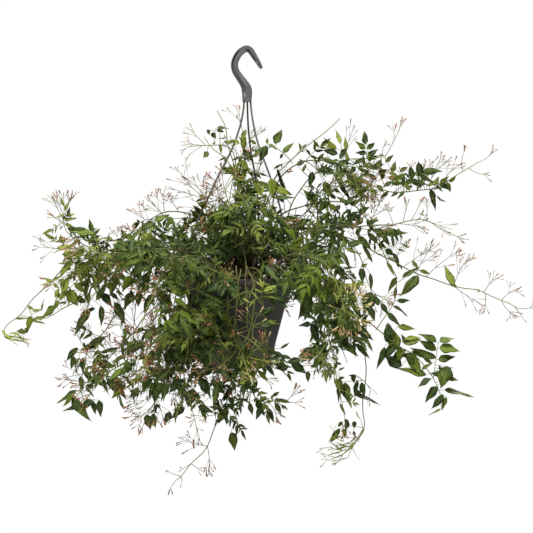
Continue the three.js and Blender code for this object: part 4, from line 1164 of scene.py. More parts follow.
VINES: tuple[Vine, ...] = (
    Vine("right_whip_up", R_UP, "30 10 -250, 46 0 -199, 70 -10 -177, 98 -15 -155, 148 -20 -106",
         bare=0.2, full=0.35, size=0.8, shoots=0, gap=40, leaves="296 155 60 26 .3, 290 162 190 28 .2"),
    Vine("right_upper", R_UP, """
    40 20 -270, 55 15 -205, 90 10 -178, 130 5 -172, 170 0 -190, 214 -5 -222, 258 -5 -224, 310 0 -212,
    335 5 -200, 372 5 -178""", bare=0.42, full=0.9, size=0.8, shoots=0.2, gap=22, own_spray=True,
         stalks="""
    404 186 95 34 0, 420 188 80 36 0, 424 186 110 30 .1, 408 187 88 40 .2, 416 188 76 58 .1,
    428 187 68 56 .1, 441 184 58 42 .1, 462 172 97 36 .3, 470 167 -30 26 .4, 478 163 18 26 .3""",
         blades="""
    431 189 437 211 .05 .28, 440 184 453 188 .1 .4, 447 182 452 192 .1 .4, 398 192 390 198 .1 .4,
    418 188 426 178 .2 .4, 410 190 402 180 .2 .4, 434 186 440 176 .2 .4, 404 191 398 200 .1 .3"""),
    Vine("right_top_leaves", R_UP, "80 40 -230, 120 40 -190, 150 30 -172, 195 20 -168, 222 10 -170",
         bare=0.3, size=0.55, shoots=0.1, gap=34,
         stalks="""
    385 158 62 58 .1, 383 150 95 22 .3, 352 176 262 28 .1, 360 178 275 28 .1, 366 184 262 26 .1,
    358 190 275 26 .2, 364 196 268 24 .4, 350 186 258 26 .1, 370 192 262 19 .2, 356 202 275 19 .5,
    366 206 262 19 .5, 345 180 280 19 .1, 362 196 200 26 .5, 368 200 160 26 .5, 374 204 110 26 .5,
    364 210 210 24 .5, 372 212 80 26 .5, 378 206 40 24 .3, 356 188 150 22 .4, 384 196 60 22 .2,
    376 188 120 24 .3, 360 204 170 22 .4""",
         blades="""
    341 143 337 127 .9 .28, 347 149 345 136 .9 .36, 337 148 323 138 .85 .34, 331 147 325 142 .85 .3,
    338 153 324 147 0 .44, 341 153 350 147 0 .46, 348 160 348 150 .8 .4, 337 162 320 159 0 .34,
    320 157 326 152 0 .45, 366 143 364 130 .1 .5, 366 148 355 141 .1 .48, 368 148 376 142 .1 .5,
    367 153 356 150 .1 .42, 369 156 378 147 .08 .48, 371 158 381 155 .08 .45, 366 158 352 162 0 .36,
    371 166 389 163 .1 .3, 345 161 339 166 0 .6, 369 181 341 178 .25 .32, 384 178 383 165 .2 .4,
    325 165 319 173 0 .45, 326 167 337 171 0 .4, 341 184 350 198 0 .36, 324 181 335 197 .5 .42,
    313 170 312 187 0 .4, 318 203 304 188 .4 .5, 297 164 306 159 0 .5, 303 170 308 162 .3 .4,
    356 166 350 174 0 .55, 364 168 372 176 0 .45, 352 180 362 188 0 .4, 370 186 360 194 0 .4,
    378 184 386 192 .1 .4, 390 176 402 182 .1 .36, 304 162 300 156 .1 .4, 386 162 394 154 .2 .36,
    346 172 338 178 .05 .4, 376 168 384 158 .1 .5, 332 200 322 208 .1 .4, 326 200 318 212 .2 .4""",
         ribs="367 160 367 140, 342 162 342 146, 330 165 328 150, 340 172 372 182"),
    Vine("right_mid", R_UP, """
    90 -30 -290, 140 -40 -280, 190 -40 -280, 257 -35 -270, 285 -35 -272, 322 -30 -291""",
         full=0.7, size=0.62, youth=0.5, shoots=0.15, gap=26, own_spray=True,
         stalks="""
    392 224 112 34 .1, 400 221 80 30 .1, 410 221 58 34 .1, 424 222 95 28 .2, 424 223 -20 40 .4,
    445 232 -18 24 .5, 398 228 -8 46 .2""", leaves="418 216 70 18 .7, 388 236 -110 26 .3"),
    Vine("right_whip_low", R_LOW, """
    80 -10 -280, 140 -20 -290, 180 -20 -305, 255 -20 -347, 300 -20 -365, 362 -20 -379, 408 -15 -398,
    436 -15 -413""", bare=0.2, full=0.6, size=0.72, youth=0.35, shoots=0.12, gap=28,
         stalks="""
    424 277 48 62 .1, 416 272 62 50 .1, 405 262 40 52 .1, 396 258 70 40 .1, 452 285 66 50 .4,
    453 286 -36 56 .4, 483 292 52 34 .2, 484 292 -95 24 .3, 501 301 42 30 .2, 512 307 -52 26 .2,
    516 309 -6 26 .2, 501 302 -60 34 .3""", leaves="483 291 165 14 .9",
         blades="453 285 441 265 .8 .3, 456 287 446 282 .7 .3"),
    Vine("right_big_leaves", R_LOW, """
    90 -30 -350, 150 -40 -390, 203 -40 -438, 236 -40 -462, 270 -40 -490, 296 -38 -518, 308 -36 -545""",
         bare=0.3, full=0.45, size=1.0, youth=0.2, shoots=0,
         blades="""
    386 312 398 326 0 .36, 396 325 413 330 .45 .34, 388 342 382 323 0 .42, 389 336 388 320 0 .45,
    395 349 392 325 .5 .52, 402 338 419 334 .8 .26, 403 343 420 338 .55 .42, 434 349 417 339 .3 .42,
    434 341 417 330 .12 .42, 434 357 408 347 .3 .26, 437 341 452 336 .5 .55, 437 347 458 347 .22 .62,
    436 358 453 357 .2 .46, 383 346 378 369 0 .26, 392 344 383 358 0 .5, 400 365 383 355 .02 .6,
    404 348 388 360 .4 .5, 405 352 423 372 .5 .4, 424 374 396 364 .4 .28, 398 346 398 362 .4 .5,
    430 377 414 384 0 .42, 436 385 421 399 0 .4, 441 393 431 408 0 .4, 445 396 438 408 .45 .32,
    439 407 426 413 .5 .16, 446 365 438 387 .25 .62, 437 370 442 384 .2 .6, 443 388 472 395 .32 .36,
    440 368 451 366 .2 .3, 439 370 437 363 .1 .4, 420 368 430 360 .2 .3, 400 356 410 350 .6 .3,
    406 344 398 334 .2 .4, 412 362 402 352 .1 .42, 394 338 384 346 .1 .4, 442 380 450 372 .3 .4,
    444 376 456 380 .5 .4, 440 374 428 370 .3 .4, 388 330 382 340 .1 .4, 410 350 424 356 .4 .34,
    430 362 420 356 .3 .3""", ribs="436 374 436 342, 396 342 414 336"),
    Vine("right_trail", R_LOW, """
    100 30 -330, 160 50 -350, 190 45 -400, 193 40 -458, 196 38 -500, 192 38 -530, 186 36 -580,
    190 36 -604, 178 36 -634, 150 36 -650""", bare=0.25, full=0.4, shoots=0.1, gap=34,
         stalks="""
    349 451 178 18 1, 346 446 200 16 1, 344 458 250 16 1, 339 455 190 16 1, 335 449 160 16 1,
    366 432 100 18 1, 343 441 150 18 1, 352 444 190 20 1, 347 461 200 16 1, 338 462 180 16 1,
    357 452 285 16 1, 350 438 120 16 1, 372 392 -100 14 1, 371 386 -40 12 1""",
         leaves="366 345 -20 14 .3",
         blades="""
    363 384 364 399 0 .42, 356 396 383 404 0 .32, 359 382 353 401 0 .26, 346 384 350 407 .1 .36,
    343 385 343 399 0 .5, 340 386 341 406 0 .24, 341 405 346 418 .5 .2, 356 378 349 377 0 .6,
    355 376 354 385 0 .6, 340 381 346 378 .2 .5, 344 342 360 358 .2 .34, 340 342 343 350 0 .4,
    349 423 346 433 0 .5, 356 423 354 431 0 .6, 346 421 351 430 0 .4, 345 431 347 441 .2 .45,
    341 431 330 446 .3 .32, 355 433 356 440 .1 .5, 343 424 339 430 .2 .5, 362 396 354 391 0 .5,
    340 372 346 368 .3 .3, 335 368 340 362 .5 .3, 334 438 330 446 .9 .3, 338 436 333 442 .9 .25,
    344 453 330 446 1 .09, 342 454 328 458 1 .1, 349 449 334 444 1 .1, 356 444 343 456 1 .09,
    352 448 331 452 1 .08, 358 441 349 452 1 .12, 347 452 338 462 1 .08, 343 457 331 463 1 .09,
    345 444 333 439 1 .1, 360 438 345 447 1 .08, 352 444 337 449 1 .07, 336 447 329 443 1 .12,
    338 460 329 457 1 .1, 366 431 357 444 1 .1""",
         ribs="""
    364 384 355 376, 364 382 343 384, 362 430 344 428, 366 431 358 442, 358 442 345 452,
    345 452 329 458, 359 441 342 440, 345 452 331 448, 352 448 336 447, 356 445 349 460,
    349 460 333 464, 350 440 333 439, 355 376 366 383, 366 383 372 393"""),
    Vine("right_low", R_LOW, "78 -76 -335, 114 -90 -372, 130 -92 -425, 134 -88 -478, 138 -82 -524",
         bare=0.42, size=0.95, youth=0.25, shoots=0.6, gap=16, sprays=".8 34 .5"),
    Vine("right_front", R_LOW, "80 -60 -310, 120 -90 -340, 145 -100 -380, 156 -100 -420, 164 -98 -458",
         size=0.95, youth=0.2, shoots=0.4, gap=24, own_spray=True,
         stalks="""
    350 306 62 26 .6, 350 306 25 22 .6, 351 320 -45 22 .5, 350 306 100 20 .6, 351 320 -5 22 .6""",
         ribs="344 312 350 306, 345 314 351 320"),
    Vine("right_behind", R_UP, "70 60 -300, 120 90 -280, 165 105 -300, 195 105 -340, 205 100 -380",
         bare=0.2, size=1.0, youth=0.2, sprays="1 40 .2"),
    Vine("right_middle", R_UP, """
    60 20 -260, 110 0 -240, 150 -20 -240, 190 -25 -262, 212 -22 -308, 228 -23 -340, 240 -25 -368,
    240 -25 -397, 227 -25 -416, 206 -25 -443""", bare=0.1, full=0.5, youth=0.25, shoots=0.45, gap=26,
         stalks="""
    350 204 80 40 .15, 356 208 50 40 .1, 362 213 70 44 .15, 345 203 110 34 .2, 368 220 30 34 .1,
    370 222 60 40 .1, 340 203 60 30 .2, 366 216 100 36 .1, 372 228 10 30 .1""",
         blades="""
    396 277 386 292 .3 .28, 417 276 399 297 .3 .36, 395 287 394 301 0 .26, 396 300 410 302 0 .34,
    392 306 408 314 .05 .34, 380 303 389 314 0 .36, 388 313 396 325 0 .36, 371 292 361 314 0 .5,
    377 305 374 293 .1 .5, 369 273 373 292 .1 .22, 361 267 367 264 .2 .6, 362 245 372 263 .1 .34,
    360 268 364 282 .05 .5, 381 236 391 246 0 .4, 391 236 394 249 .2 .22, 393 231 398 244 .2 .2,
    397 228 402 239 .2 .24, 400 243 410 248 .2 .24, 396 249 407 253 .2 .24, 392 253 401 267 .1 .3,
    384 250 394 254 0 .6, 401 277 419 268 .2 .24, 411 261 419 271 .3 .3, 418 270 430 274 .2 .3,
    386 262 396 276 .6 .24""",
         ribs="378 248 362 262, 378 248 396 244, 396 282 412 270, 392 306 372 292"),
    Vine("top_centre", TOP, "-6 0 -285, -10 -5 -237, -8 -12 -190, -5 -12 -160, -3 -10 -138",
         bare=0.1, youth=0.35, shoots=0.12, gap=18, own_spray=True,
         stalks="243 140 104 60 .2, 242 160 125 34 .2, 244 150 60 42 .3",
         leaves="243 150 -120 22 .2, 244 166 -50 24 .2",
         blades="""
    241 169 221 173 .1 .32, 243 150 254 162 .1 .45, 243 151 243 130 .7 .34, 239 157 232 162 .1 .3,
    242 160 248 176 .5 .4, 246 146 240 136 .6 .4, 244 172 238 186 .4 .4, 242 140 246 128 .6 .4,
    241 162 236 170 .5 .5, 250 172 254 180 .1 .4"""),
    Vine("top_left", TOP, "-15 -20 -250, -14 -27 -190, -34 -27 -152, -62 -25 -150, -90 -25 -152",
         bare=0.2, full=0.7, size=0.42, youth=0.4, shoots=0, gap=20,
         stalks="205 148 178 30 .7, 207 146 132 36 .5, 204 149 214 26 .6",
         blades="""
    218 129 229 130 0 .4, 217 131 224 134 0 .5, 212 134 217 140 0 .6, 208 131 211 136 0 .6,
    222 140 227 138 0 .5, 209 153 203 158 .1 .8, 220 146 223 156 .3 .4, 228 144 236 141 .5 .4,
    216 143 212 146 .5 .5, 225 142 230 146 .6 .4""",
         ribs="214 147 216 130, 222 144 221 130, 209 147 207 154"),
    Vine("top_cane", TOP, "-22 26 -290, -16 28 -200, -30 26 -142, -47 24 -88",
         bare=0.1, full=0.3, size=0.7, youth=0.2, shoots=0, gap=40,
         leaves="237 150 200 22 .3, 236 138 160 16 .3"),
    Vine("top_right_leaf", TOP, """
    10 -30 -240, 20 -38 -190, 30 -40 -160, 45 -38 -152, 62 -34 -160, 75 -30 -180""",
         bare=0.25, full=0.5, size=0.6, shoots=0, gap=26,
         blades="""
    275 145 281 130 .1 .5, 283 154 294 145 .1 .45, 282 155 280 161 .1 .5, 266 147 261 164 .05 .46,
    269 146 278 151 .2 .3, 267 146 267 139 .2 .4, 262 150 252 160 .1 .42, 256 146 250 140 .5 .4""",
         ribs="274 150 276 145, 264 152 258 148"),
    Vine("crown_front", FRONT, "0 -50 -290, 15 -72 -260, 36 -80 -250, 52 -80 -262",
         bare=0.1, size=1.1, youth=0.4, gap=22, sprays="1 30 .3"),
    Vine("left_top", L_UP, "-50 -30 -300, -62 -38 -262, -68 -40 -232",
         bare=0.1, gap=20, own_spray=True,
         stalks="""
    202 198 142 60 0, 203 200 164 50 0, 206 196 96 32 0, 205 200 116 42 .1, 204 204 196 36 0,
    214 202 30 30 0, 206 206 60 34 0, 210 212 90 30 0, 206 208 150 34 0, 208 214 40 34 0"""),
    Vine("left_arch", L_UP, """
    -60 10 -290, -90 15 -262, -130 20 -255, -165 20 -275, -200 15 -300, -225 15 -335""",
         bare=0.1, size=1.1, youth=0.25, shoots=0.35, gap=26,
         stalks="165 216 96 40 .1, 178 214 120 30 .2"),
    Vine("left_up", L_UP, """
    -70 30 -310, -130 40 -314, -190 40 -318, -240 30 -316, -268 25 -300, -288 20 -284, -295 20 -268""",
         shoots=0.2, gap=24, own_spray=True,
         stalks="62 218 96 44 .4, 62 220 118 40 .5, 62 219 74 42 .2, 63 224 140 30 .6",
         leaves="74 234 30 40 0, 90 240 25 40 0",
         blades="""
    64 216 74 212 .7 .3, 63 220 76 218 .6 .3, 64 224 74 226 .6 .3, 62 214 52 218 .7 .3,
    63 210 66 200 .8 .3, 62 206 58 196 .8 .3, 66 228 80 230 .2 .4, 70 232 84 226 0 .4,
    78 236 96 228 0 .3, 72 246 52 248 .6 .24, 70 250 58 256 .7 .3, 76 240 66 248 .6 .3"""),
    Vine("left_whip", L_UP, """
    -80 -10 -320, -140 -10 -315, -200 -10 -320, -252 -10 -328, -300 -10 -355, -330 -10 -388,
    -350 -10 -408, -384 -10 -443, -384 -11 -452, -366 -12 -458""",
         bare=0.12, full=0.55, size=0.8, youth=0.5, shoots=0.25, gap=24, stalks="10 336 -12 24 .9",
         blades="""
    52 283 45 277 .9 .4, 50 284 40 284 .8 .3, 54 284 60 288 .8 .5, 52 281 64 276 .8 .24,
    29 306 35 311 .7 .4, 34 311 44 309 .6 .4, 43 310 44 299 .5 .2, 16 318 30 318 .5 .2,
    32 316 28 331 .4 .4, 33 320 46 324 .5 .2, 30 327 24 334 .1 .5, 26 331 17 330 .1 .5,
    3 330 10 339 1 .2, 4 334 18 340 1 .16, 9 334 21 331 1 .15, 14 336 27 331 1 .14,
    12 339 28 341 1 .12, 20 338 33 341 1 .12, 11 340 20 346 1 .14, 8 337 24 336 1 .12,
    22 340 31 345 1 .1, 5 336 14 342 1 .16, 16 333 24 337 1 .2, 56 292 64 300 .8 .4,
    60 288 54 298 .8 .4, 22 334 30 328 .9 .3""", ribs="28 306 34 318, 20 315 32 318, 10 336 26 338"),
    Vine("left_droop", L_UP, """
    -80 -40 -330, -140 -50 -330, -200 -50 -345, -240 -45 -372, -262 -40 -396, -290 -40 -412,
    -312 -40 -420, -334 -40 -424""", full=0.6, size=0.8, youth=0.4, shoots=0.15, gap=28,
         leaves="118 290 -60 46 .1, 78 302 170 26 .7",
         blades="""
    92 309 73 334 0 .3, 97 308 82 311 0 .3, 103 305 106 326 0 .28, 61 300 56 311 .4 .4,
    58 305 43 320 .2 .4, 47 317 33 317 .2 .3, 88 302 76 296 .2 .4, 84 296 74 304 .6 .5,
    108 286 98 302 0 .4, 112 292 122 302 0 .4"""),
    Vine("left_front", L_UP, """
    -60 -60 -330, -110 -90 -316, -156 -100 -318, -190 -100 -332, -208 -95 -350""",
         bare=0.12, size=0.85, shoots=0.25, gap=28, sprays=".85 40 .2"),
    Vine("left_behind", L_UP, "-60 60 -320, -120 90 -300, -180 100 -315, -230 100 -345",
         size=1.05, youth=0.2, shoots=0.35, gap=28),
    Vine("low_left_outer", L_LOW, """
    -90 -20 -340, -140 -30 -360, -185 -30 -400, -220 -30 -440, -246 -30 -470, -260 -30 -502,
    -260 -30 -538, -256 -30 -552""", bare=0.42, size=0.95, youth=0.2, shoots=0.35, gap=28,
         stalks="84 340 122 34 .1, 88 338 100 36 .1, 96 335 140 30 0",
         blades="""
    88 347 111 334 .05 .38, 103 352 122 347 0 .36, 80 347 66 359 .1 .34, 76 355 74 369 0 .4,
    98 345 80 348 .1 .4, 98 362 117 364 0 .42, 84 357 83 373 0 .4, 104 368 101 381 0 .5,
    109 377 121 392 0 .4, 82 375 84 391 .1 .4, 79 389 59 404 .2 .26, 76 393 64 407 .2 .2,
    74 395 89 422 .15 .32, 80 404 65 411 .1 .3, 96 400 80 406 0 .45, 95 400 97 413 0 .4,
    101 399 101 416 0 .44, 86 370 98 382 .1 .4""",
         ribs="84 388 76 396, 86 398 101 399, 84 366 102 366, 92 346 78 350"),
    Vine("low_left_front", L_LOW, """
    -78 -80 -345, -108 -104 -415, -150 -92 -468, -195 -85 -500, -235 -80 -530""",
         bare=0.3, size=1.0, youth=0.1, shoots=0.5, gap=34, own_spray=True,
         stalks="""
    120 352 120 50 0, 130 350 95 46 0, 112 358 150 46 0, 140 345 60 40 0, 110 372 200 50 0,
    100 378 170 46 0, 118 392 230 40 0, 104 384 210 40 .1, 152 344 80 44 0, 160 336 110 40 0,
    146 348 240 42 0, 136 356 250 40 0, 124 364 270 36 0, 168 328 60 36 0, 142 352 20 36 0,
    130 360 100 34 .1"""),
    Vine("low_left_middle", L_LOW, "-104 -50 -345, -128 -66 -400, -150 -68 -432, -176 -64 -440",
         bare=0.2, size=0.8, youth=0.1, shoots=0.5, gap=32, own_spray=True,
         stalks="""
    140 325 118 52 0, 134 326 134 52 0, 130 328 152 46 0, 150 318 85 34 0, 146 322 40 36 0,
    128 334 170 40 0, 152 318 260 34 0, 142 324 225 40 0, 160 314 70 36 0"""),
    Vine("low_left_inner", L_LOW, """
    -64 -92 -345, -78 -112 -430, -100 -100 -490, -122 -92 -525, -138 -90 -556""",
         bare=0.3, size=0.7, youth=0.1, shoots=0.35,
         stalks="""
    160 400 250 40 .5, 158 404 225 46 .2, 164 392 200 50 .1, 168 396 285 36 .5, 172 376 150 44 0,
    178 366 170 40 0, 184 356 30 40 0, 172 380 10 40 .1, 162 396 60 40 .2, 166 388 350 36 .2,
    160 399 265 34 .1""", leaves="155 396 -95 26 0, 170 396 -100 26 .1"),
    Vine("bottom_whip", FRONT, """
    -30 -104 -345, -26 -120 -430, -22 -112 -520, -34 -95 -560, -43 -90 -590, -57 -88 -618,
    -84 -86 -650, -106 -84 -672""",
         bare=0.3, full=0.7, size=0.8, youth=0.2, shoots=0.2, gap=28, own_spray=True,
         stalks="""
    209 441 165 44 .2, 210 442 -78 42 .2, 194 459 -150 16 .3, 194 459 -30 14 .3, 185 471 165 18 .2,
    185 471 -80 14 .2, 179 475 222 26 .1"""),
    Vine("bottom_middle", FRONT, """
    -14 -105 -345, -12 -124 -430, -6 -116 -510, -12 -105 -560, -20 -102 -592""",
         bare=0.4, size=0.85, youth=0.1, shoots=0.45, gap=22, sprays=".7 36 .1",
         leaves="230 410 -80 30 0, 234 406 -100 26 .1"),
    Vine("bottom_right", FRONT, "2 -108 -345, 4 -122 -420, 8 -114 -500, 28 -100 -545, 60 -95 -553",
         bare=0.5, size=0.72, youth=0.2, shoots=0.35, gap=20, own_spray=True,
         stalks="""
    283 395 40 30 .1, 283 396 5 24 .1, 268 396 -50 30 .1, 250 352 48 26 .4, 251 360 20 24 .4,
    250 356 80 24 .5"""),
    Vine("front_middle", FRONT, "8 -98 -348, 14 -118 -390, 6 -128 -440, -10 -128 -486",
         bare=0.5, size=0.5, shoots=0.1, gap=40, own_spray=True,
         stalks="""
    254 320 165 19 .4, 254 320 140 19 .45, 254 320 108 19 .5, 254 322 66 19 .5, 254 324 30 16 .5,
    254 326 205 16 .4, 234 341 150 19 .2, 232 341 180 19 .2, 236 342 212 19 .15, 242 343 120 16 .3,
    266 346 80 19 .5, 265 345 110 16 .5, 243 354 195 30 .15, 243 358 215 30 .1, 246 350 300 26 .6,
    247 356 320 24 .7, 246 362 280 24 .7, 250 368 300 22 .7""",
         blades="""
    263 286 259 277 1 .3, 262 286 256 281 1 .3, 263 288 264 279 1 .25, 262 292 255 287 1 .25,
    258 297 252 291 1 .25, 250 301 243 296 1 .25, 246 301 240 304 1 .25, 254 300 248 306 .9 .25,
    260 323 280 320 0 .36, 262 313 278 306 0 .4, 284 300 274 294 0 .4, 286 306 278 300 0 .4,
    268 298 280 302 0 .35, 264 292 276 289 .7 .3, 262 295 282 295 .6 .1, 268 318 276 322 .3 .5,
    266 326 278 318 .35 .4, 262 312 272 306 .2 .4""",
         ribs="""
    250 350 253 336, 253 336 254 322, 253 334 262 342, 250 348 240 343, 240 343 232 341,
    240 300 250 301, 250 301 262 295, 262 295 263 286, 262 342 267 348"""),
    Vine("front_left", FRONT, """
    -44 -98 -340, -52 -120 -390, -46 -130 -440, -42 -126 -490, -46 -120 -535""",
         bare=0.2, youth=0.2, shoots=0.5, gap=26,
         stalks="""
    220 352 200 26 0, 220 354 228 26 0, 220 349 165 24 0, 219 346 35 30 .1, 217 380 210 34 .1"""),
    Vine("front_far_left", FRONT, """
    -68 -92 -335, -86 -118 -390, -90 -122 -450, -92 -118 -500, -88 -114 -545""",
         bare=0.2, size=1.0, youth=0.2, shoots=0.6, gap=26, sprays=".8 46 .1"),
    Vine("room_left", FRONT, "-70 -110 -325, -110 -175 -345, -140 -210 -385, -152 -222 -430",
         bare=0.2, size=1.05, sprays="1 46 .2"),
    Vine("room_right", FRONT, "68 -110 -325, 108 -170 -335, 138 -208 -365, 150 -222 -410",
         bare=0.2, size=1.05,
         stalks="""
    343 304 62 19 .8, 343 304 35 22 .9, 342 304 100 19 .8, 341 305 130 19 .8, 343 305 8 22 .9,
    343 310 -15 24 .9, 343 311 -45 22 .8, 343 311 -75 22 .8, 343 310 20 18 .7, 341 310 240 22 .8,
    341 309 210 19 .7, 341 307 165 19 .7, 343 304 80 22 .8, 343 311 -60 16 .7, 343 308 -30 19 .8""",
         ribs="340 306 343 304, 340 308 343 311"),
    Vine("back_right", BACK, "40 100 -325, 84 165 -328, 120 208 -385, 134 224 -455",
         size=1.0, shoots=0.45, sprays="1 48 .2, .8 44 .1"),
    Vine("back_left", BACK, "-60 100 -322, -110 165 -328, -140 205 -385, -150 222 -455, -150 226 -510",
         size=1.0, shoots=0.45, own_spray=True, sprays=".9 48 .1, 1 44 .1"),
    Vine("back_middle", BACK, "-15 110 -322, -12 182 -322, -2 228 -370, 4 244 -440, 2 244 -490",
         size=1.0, shoots=0.45, own_spray=True, sprays="1 48 .1, .7 44 .1"),
    Vine("back_up", BACK, "-10 50 -290, 0 78 -245, 10 98 -218, 28 112 -208",
         bare=0.1, size=1.0, shoots=0.35, gap=26, sprays="1 44 .2"),
    Vine("back_low_right", BACK, "32 102 -345, 46 126 -420, 44 134 -480, 40 136 -520",
         bare=0.25, size=1.0, youth=0.2, shoots=0.4),
    Vine("back_low_left", BACK, "-70 92 -345, -96 124 -430, -106 132 -500, -112 134 -560",
         bare=0.25, size=1.0, youth=0.2, shoots=0.45),
    Vine("right_top_fill", R_UP, """
    290 232 10, 312 204 0, 328 184 -14, 344 174 -24, 360 178 -28, 374 192 -26""",
         bare=0.4, size=0.95, youth=0.25, gap=22, extra=True),
    Vine("twin_cane", TOP, "246 196 -8, 238 178 -8, 226 162 -6, 213 148 -4, 203 136 -2",
         bare=0.2, full=0.4, size=0.5, shoots=0, extra=True),
    Vine("crown_left", TOP, "240 240 -40, 232 215 -44, 226 196 -44, 222 186 -40",
         bare=0.05, gap=22, extra=True,
         stalks="""
    222 187 100 30 .3, 224 190 60 30 .2, 223 196 150 34 0, 226 204 170 36 0, 222 190 190 34 0,
    226 208 140 34 0, 230 214 160 34 0, 223 198 120 34 0, 228 212 200 34 0, 224 202 210 30 0"""),
    Vine("crown_right", TOP, "256 240 -50, 264 215 -56, 271 200 -56, 274 190 -54",
         bare=0.05, size=1.15, youth=0.6, shoots=0.1, gap=20, extra=True, leaves="266 204 140 40 .5",
         blades="""
    271 180 276 200 .5 .5, 275 191 293 193 .7 .42, 275 199 295 198 .1 .26, 270 190 257 181 .4 .4,
    262 196 252 184 .4 .4"""),
    Vine("crown_back", TOP, "244 232 40, 238 205 44, 246 190 40, 252 178 36",
         bare=0.05, gap=22, extra=True, stalks="252 180 75 34 .3"),
    Vine("left_fill", L_UP, """
    214 264 -30, 176 248 -46, 140 246 -56, 108 252 -56, 84 264 -50, 70 282 -44""",
         bare=0.1, size=1.0, youth=0.45, shoots=0.35, gap=24, extra=True,
         stalks="""
    112 252 150 24 .2, 118 252 60 24 .2, 106 254 210 24 .2, 124 250 110 26 .1, 98 258 160 26 .1,
    108 256 300 24 .2, 92 260 230 26 .1, 130 248 80 24 .1, 104 262 270 24 .1, 120 256 320 22 .2,
    86 262 120 24 .2, 140 246 300 26 .1, 150 246 240 24 .1""",
         leaves="82 262 165 36 .7, 74 274 200 32 .7, 70 282 -110 32 .8, 100 246 170 36 .1"),
    Vine("left_end", L_UP, "200 268 10, 150 262 16, 110 260 20, 84 268 20, 74 282 18",
         bare=0.25, size=0.95, youth=0.5, shoots=0.25, gap=24, extra=True,
         leaves="76 284 -140 32 .8, 82 274 175 32 .5"),
    Vine("low_left_fill", L_LOW, "196 300 -60, 176 330 -86, 160 352 -92, 140 372 -90",
         bare=0.25, size=0.8, youth=0.1, shoots=0.6, gap=36, extra=True,
         stalks="""
    172 350 250 34 .1, 164 362 230 34 .1, 150 370 260 34 .1, 146 372 200 34 .1, 156 366 300 34 .1"""),
    Vine("low_left_wide", L_LOW, "190 282 0, 150 312 -10, 116 352 -16, 92 372 -16",
         bare=0.6, size=0.95, youth=0.2, shoots=0.4, gap=26, extra=True,
         stalks="92 372 185 44 0, 100 364 160 44 0"),
    Vine("rim_left", FRONT, "232 262 -60, 222 285 -104, 214 305 -118, 208 330 -118",
         youth=0.4, shoots=0.4, gap=24, extra=True),
    Vine("rim_right", FRONT, "262 262 -60, 280 268 -92, 292 280 -100, 300 300 -98",
         size=0.6, youth=0.0, shoots=0.2, gap=18, extra=True,
         blades="""
    286 276 276 272 0 .4, 290 278 300 272 0 .4, 294 284 304 288 0 .4, 288 280 280 286 0 .4,
    284 270 292 264 0 .4, 278 268 270 264 0 .4, 298 292 306 300 0 .4, 296 290 290 296 0 .35,
    280 270 284 280 0 .35"""),
    Vine("rim_front", FRONT, "246 258 -50, 250 272 -96, 252 286 -112, 248 298 -114",
         bare=0.1, size=0.55, youth=0.0, shoots=0.2, gap=20, extra=True,
         stalks="""
    250 272 150 34 .3, 250 274 200 34 .2, 251 276 30 30 .3, 251 280 170 30 .3, 248 262 100 34 .3,
    249 266 60 34 .3"""),
    Vine("foot_right", FRONT, "258 270 -92, 262 300 -112, 266 322 -114, 270 345 -106, 278 364 -96",
         bare=0.68, size=0.5, youth=0.2, gap=9, extra=True),
    Vine("foot_left", FRONT, "240 270 -98, 238 300 -120, 238 330 -126, 246 356 -120, 258 374 -108",
         bare=0.6, size=0.5, youth=0.6, gap=10, extra=True,
         stalks="""
    250 364 20 26 .6, 254 370 60 22 .7, 256 372 -20 24 .6, 248 358 100 22 .6, 244 352 170 26 .2"""),
    Vine("side_right", R_LOW, "262 262 40, 300 258 30, 326 276 34, 334 316 34, 328 352 26, 322 372 22",
         youth=0.2, shoots=0.45, gap=28, extra=True),
    Vine("side_left", L_LOW, "230 262 30, 196 262 40, 176 292 52, 170 340 50, 166 376 40",
         youth=0.2, shoots=0.45, gap=28, extra=True),
    Vine("back_crown", BACK, "240 258 40, 232 240 70, 220 232 96, 208 236 118",
         bare=0.1, size=1.0, shoots=0.4, gap=24, extra=True),
    Vine("back_fill", BACK, "256 258 50, 282 246 86, 306 252 116, 322 272 134",
         bare=0.1, size=1.0, shoots=0.4, gap=24, extra=True),
    Vine("side_right_back", BACK, "262 262 60, 300 260 84, 322 296 104, 326 346 104",
         youth=0.2, shoots=0.45, gap=28, extra=True),
    Vine("side_left_back", BACK, "232 262 70, 204 262 100, 190 300 124, 186 350 126",
         youth=0.2, shoots=0.45, gap=28, extra=True),
    Vine("back_centre", BACK, "246 262 84, 250 284 116, 248 330 126, 244 376 122",
         youth=0.2, shoots=0.4, gap=26, extra=True),
)

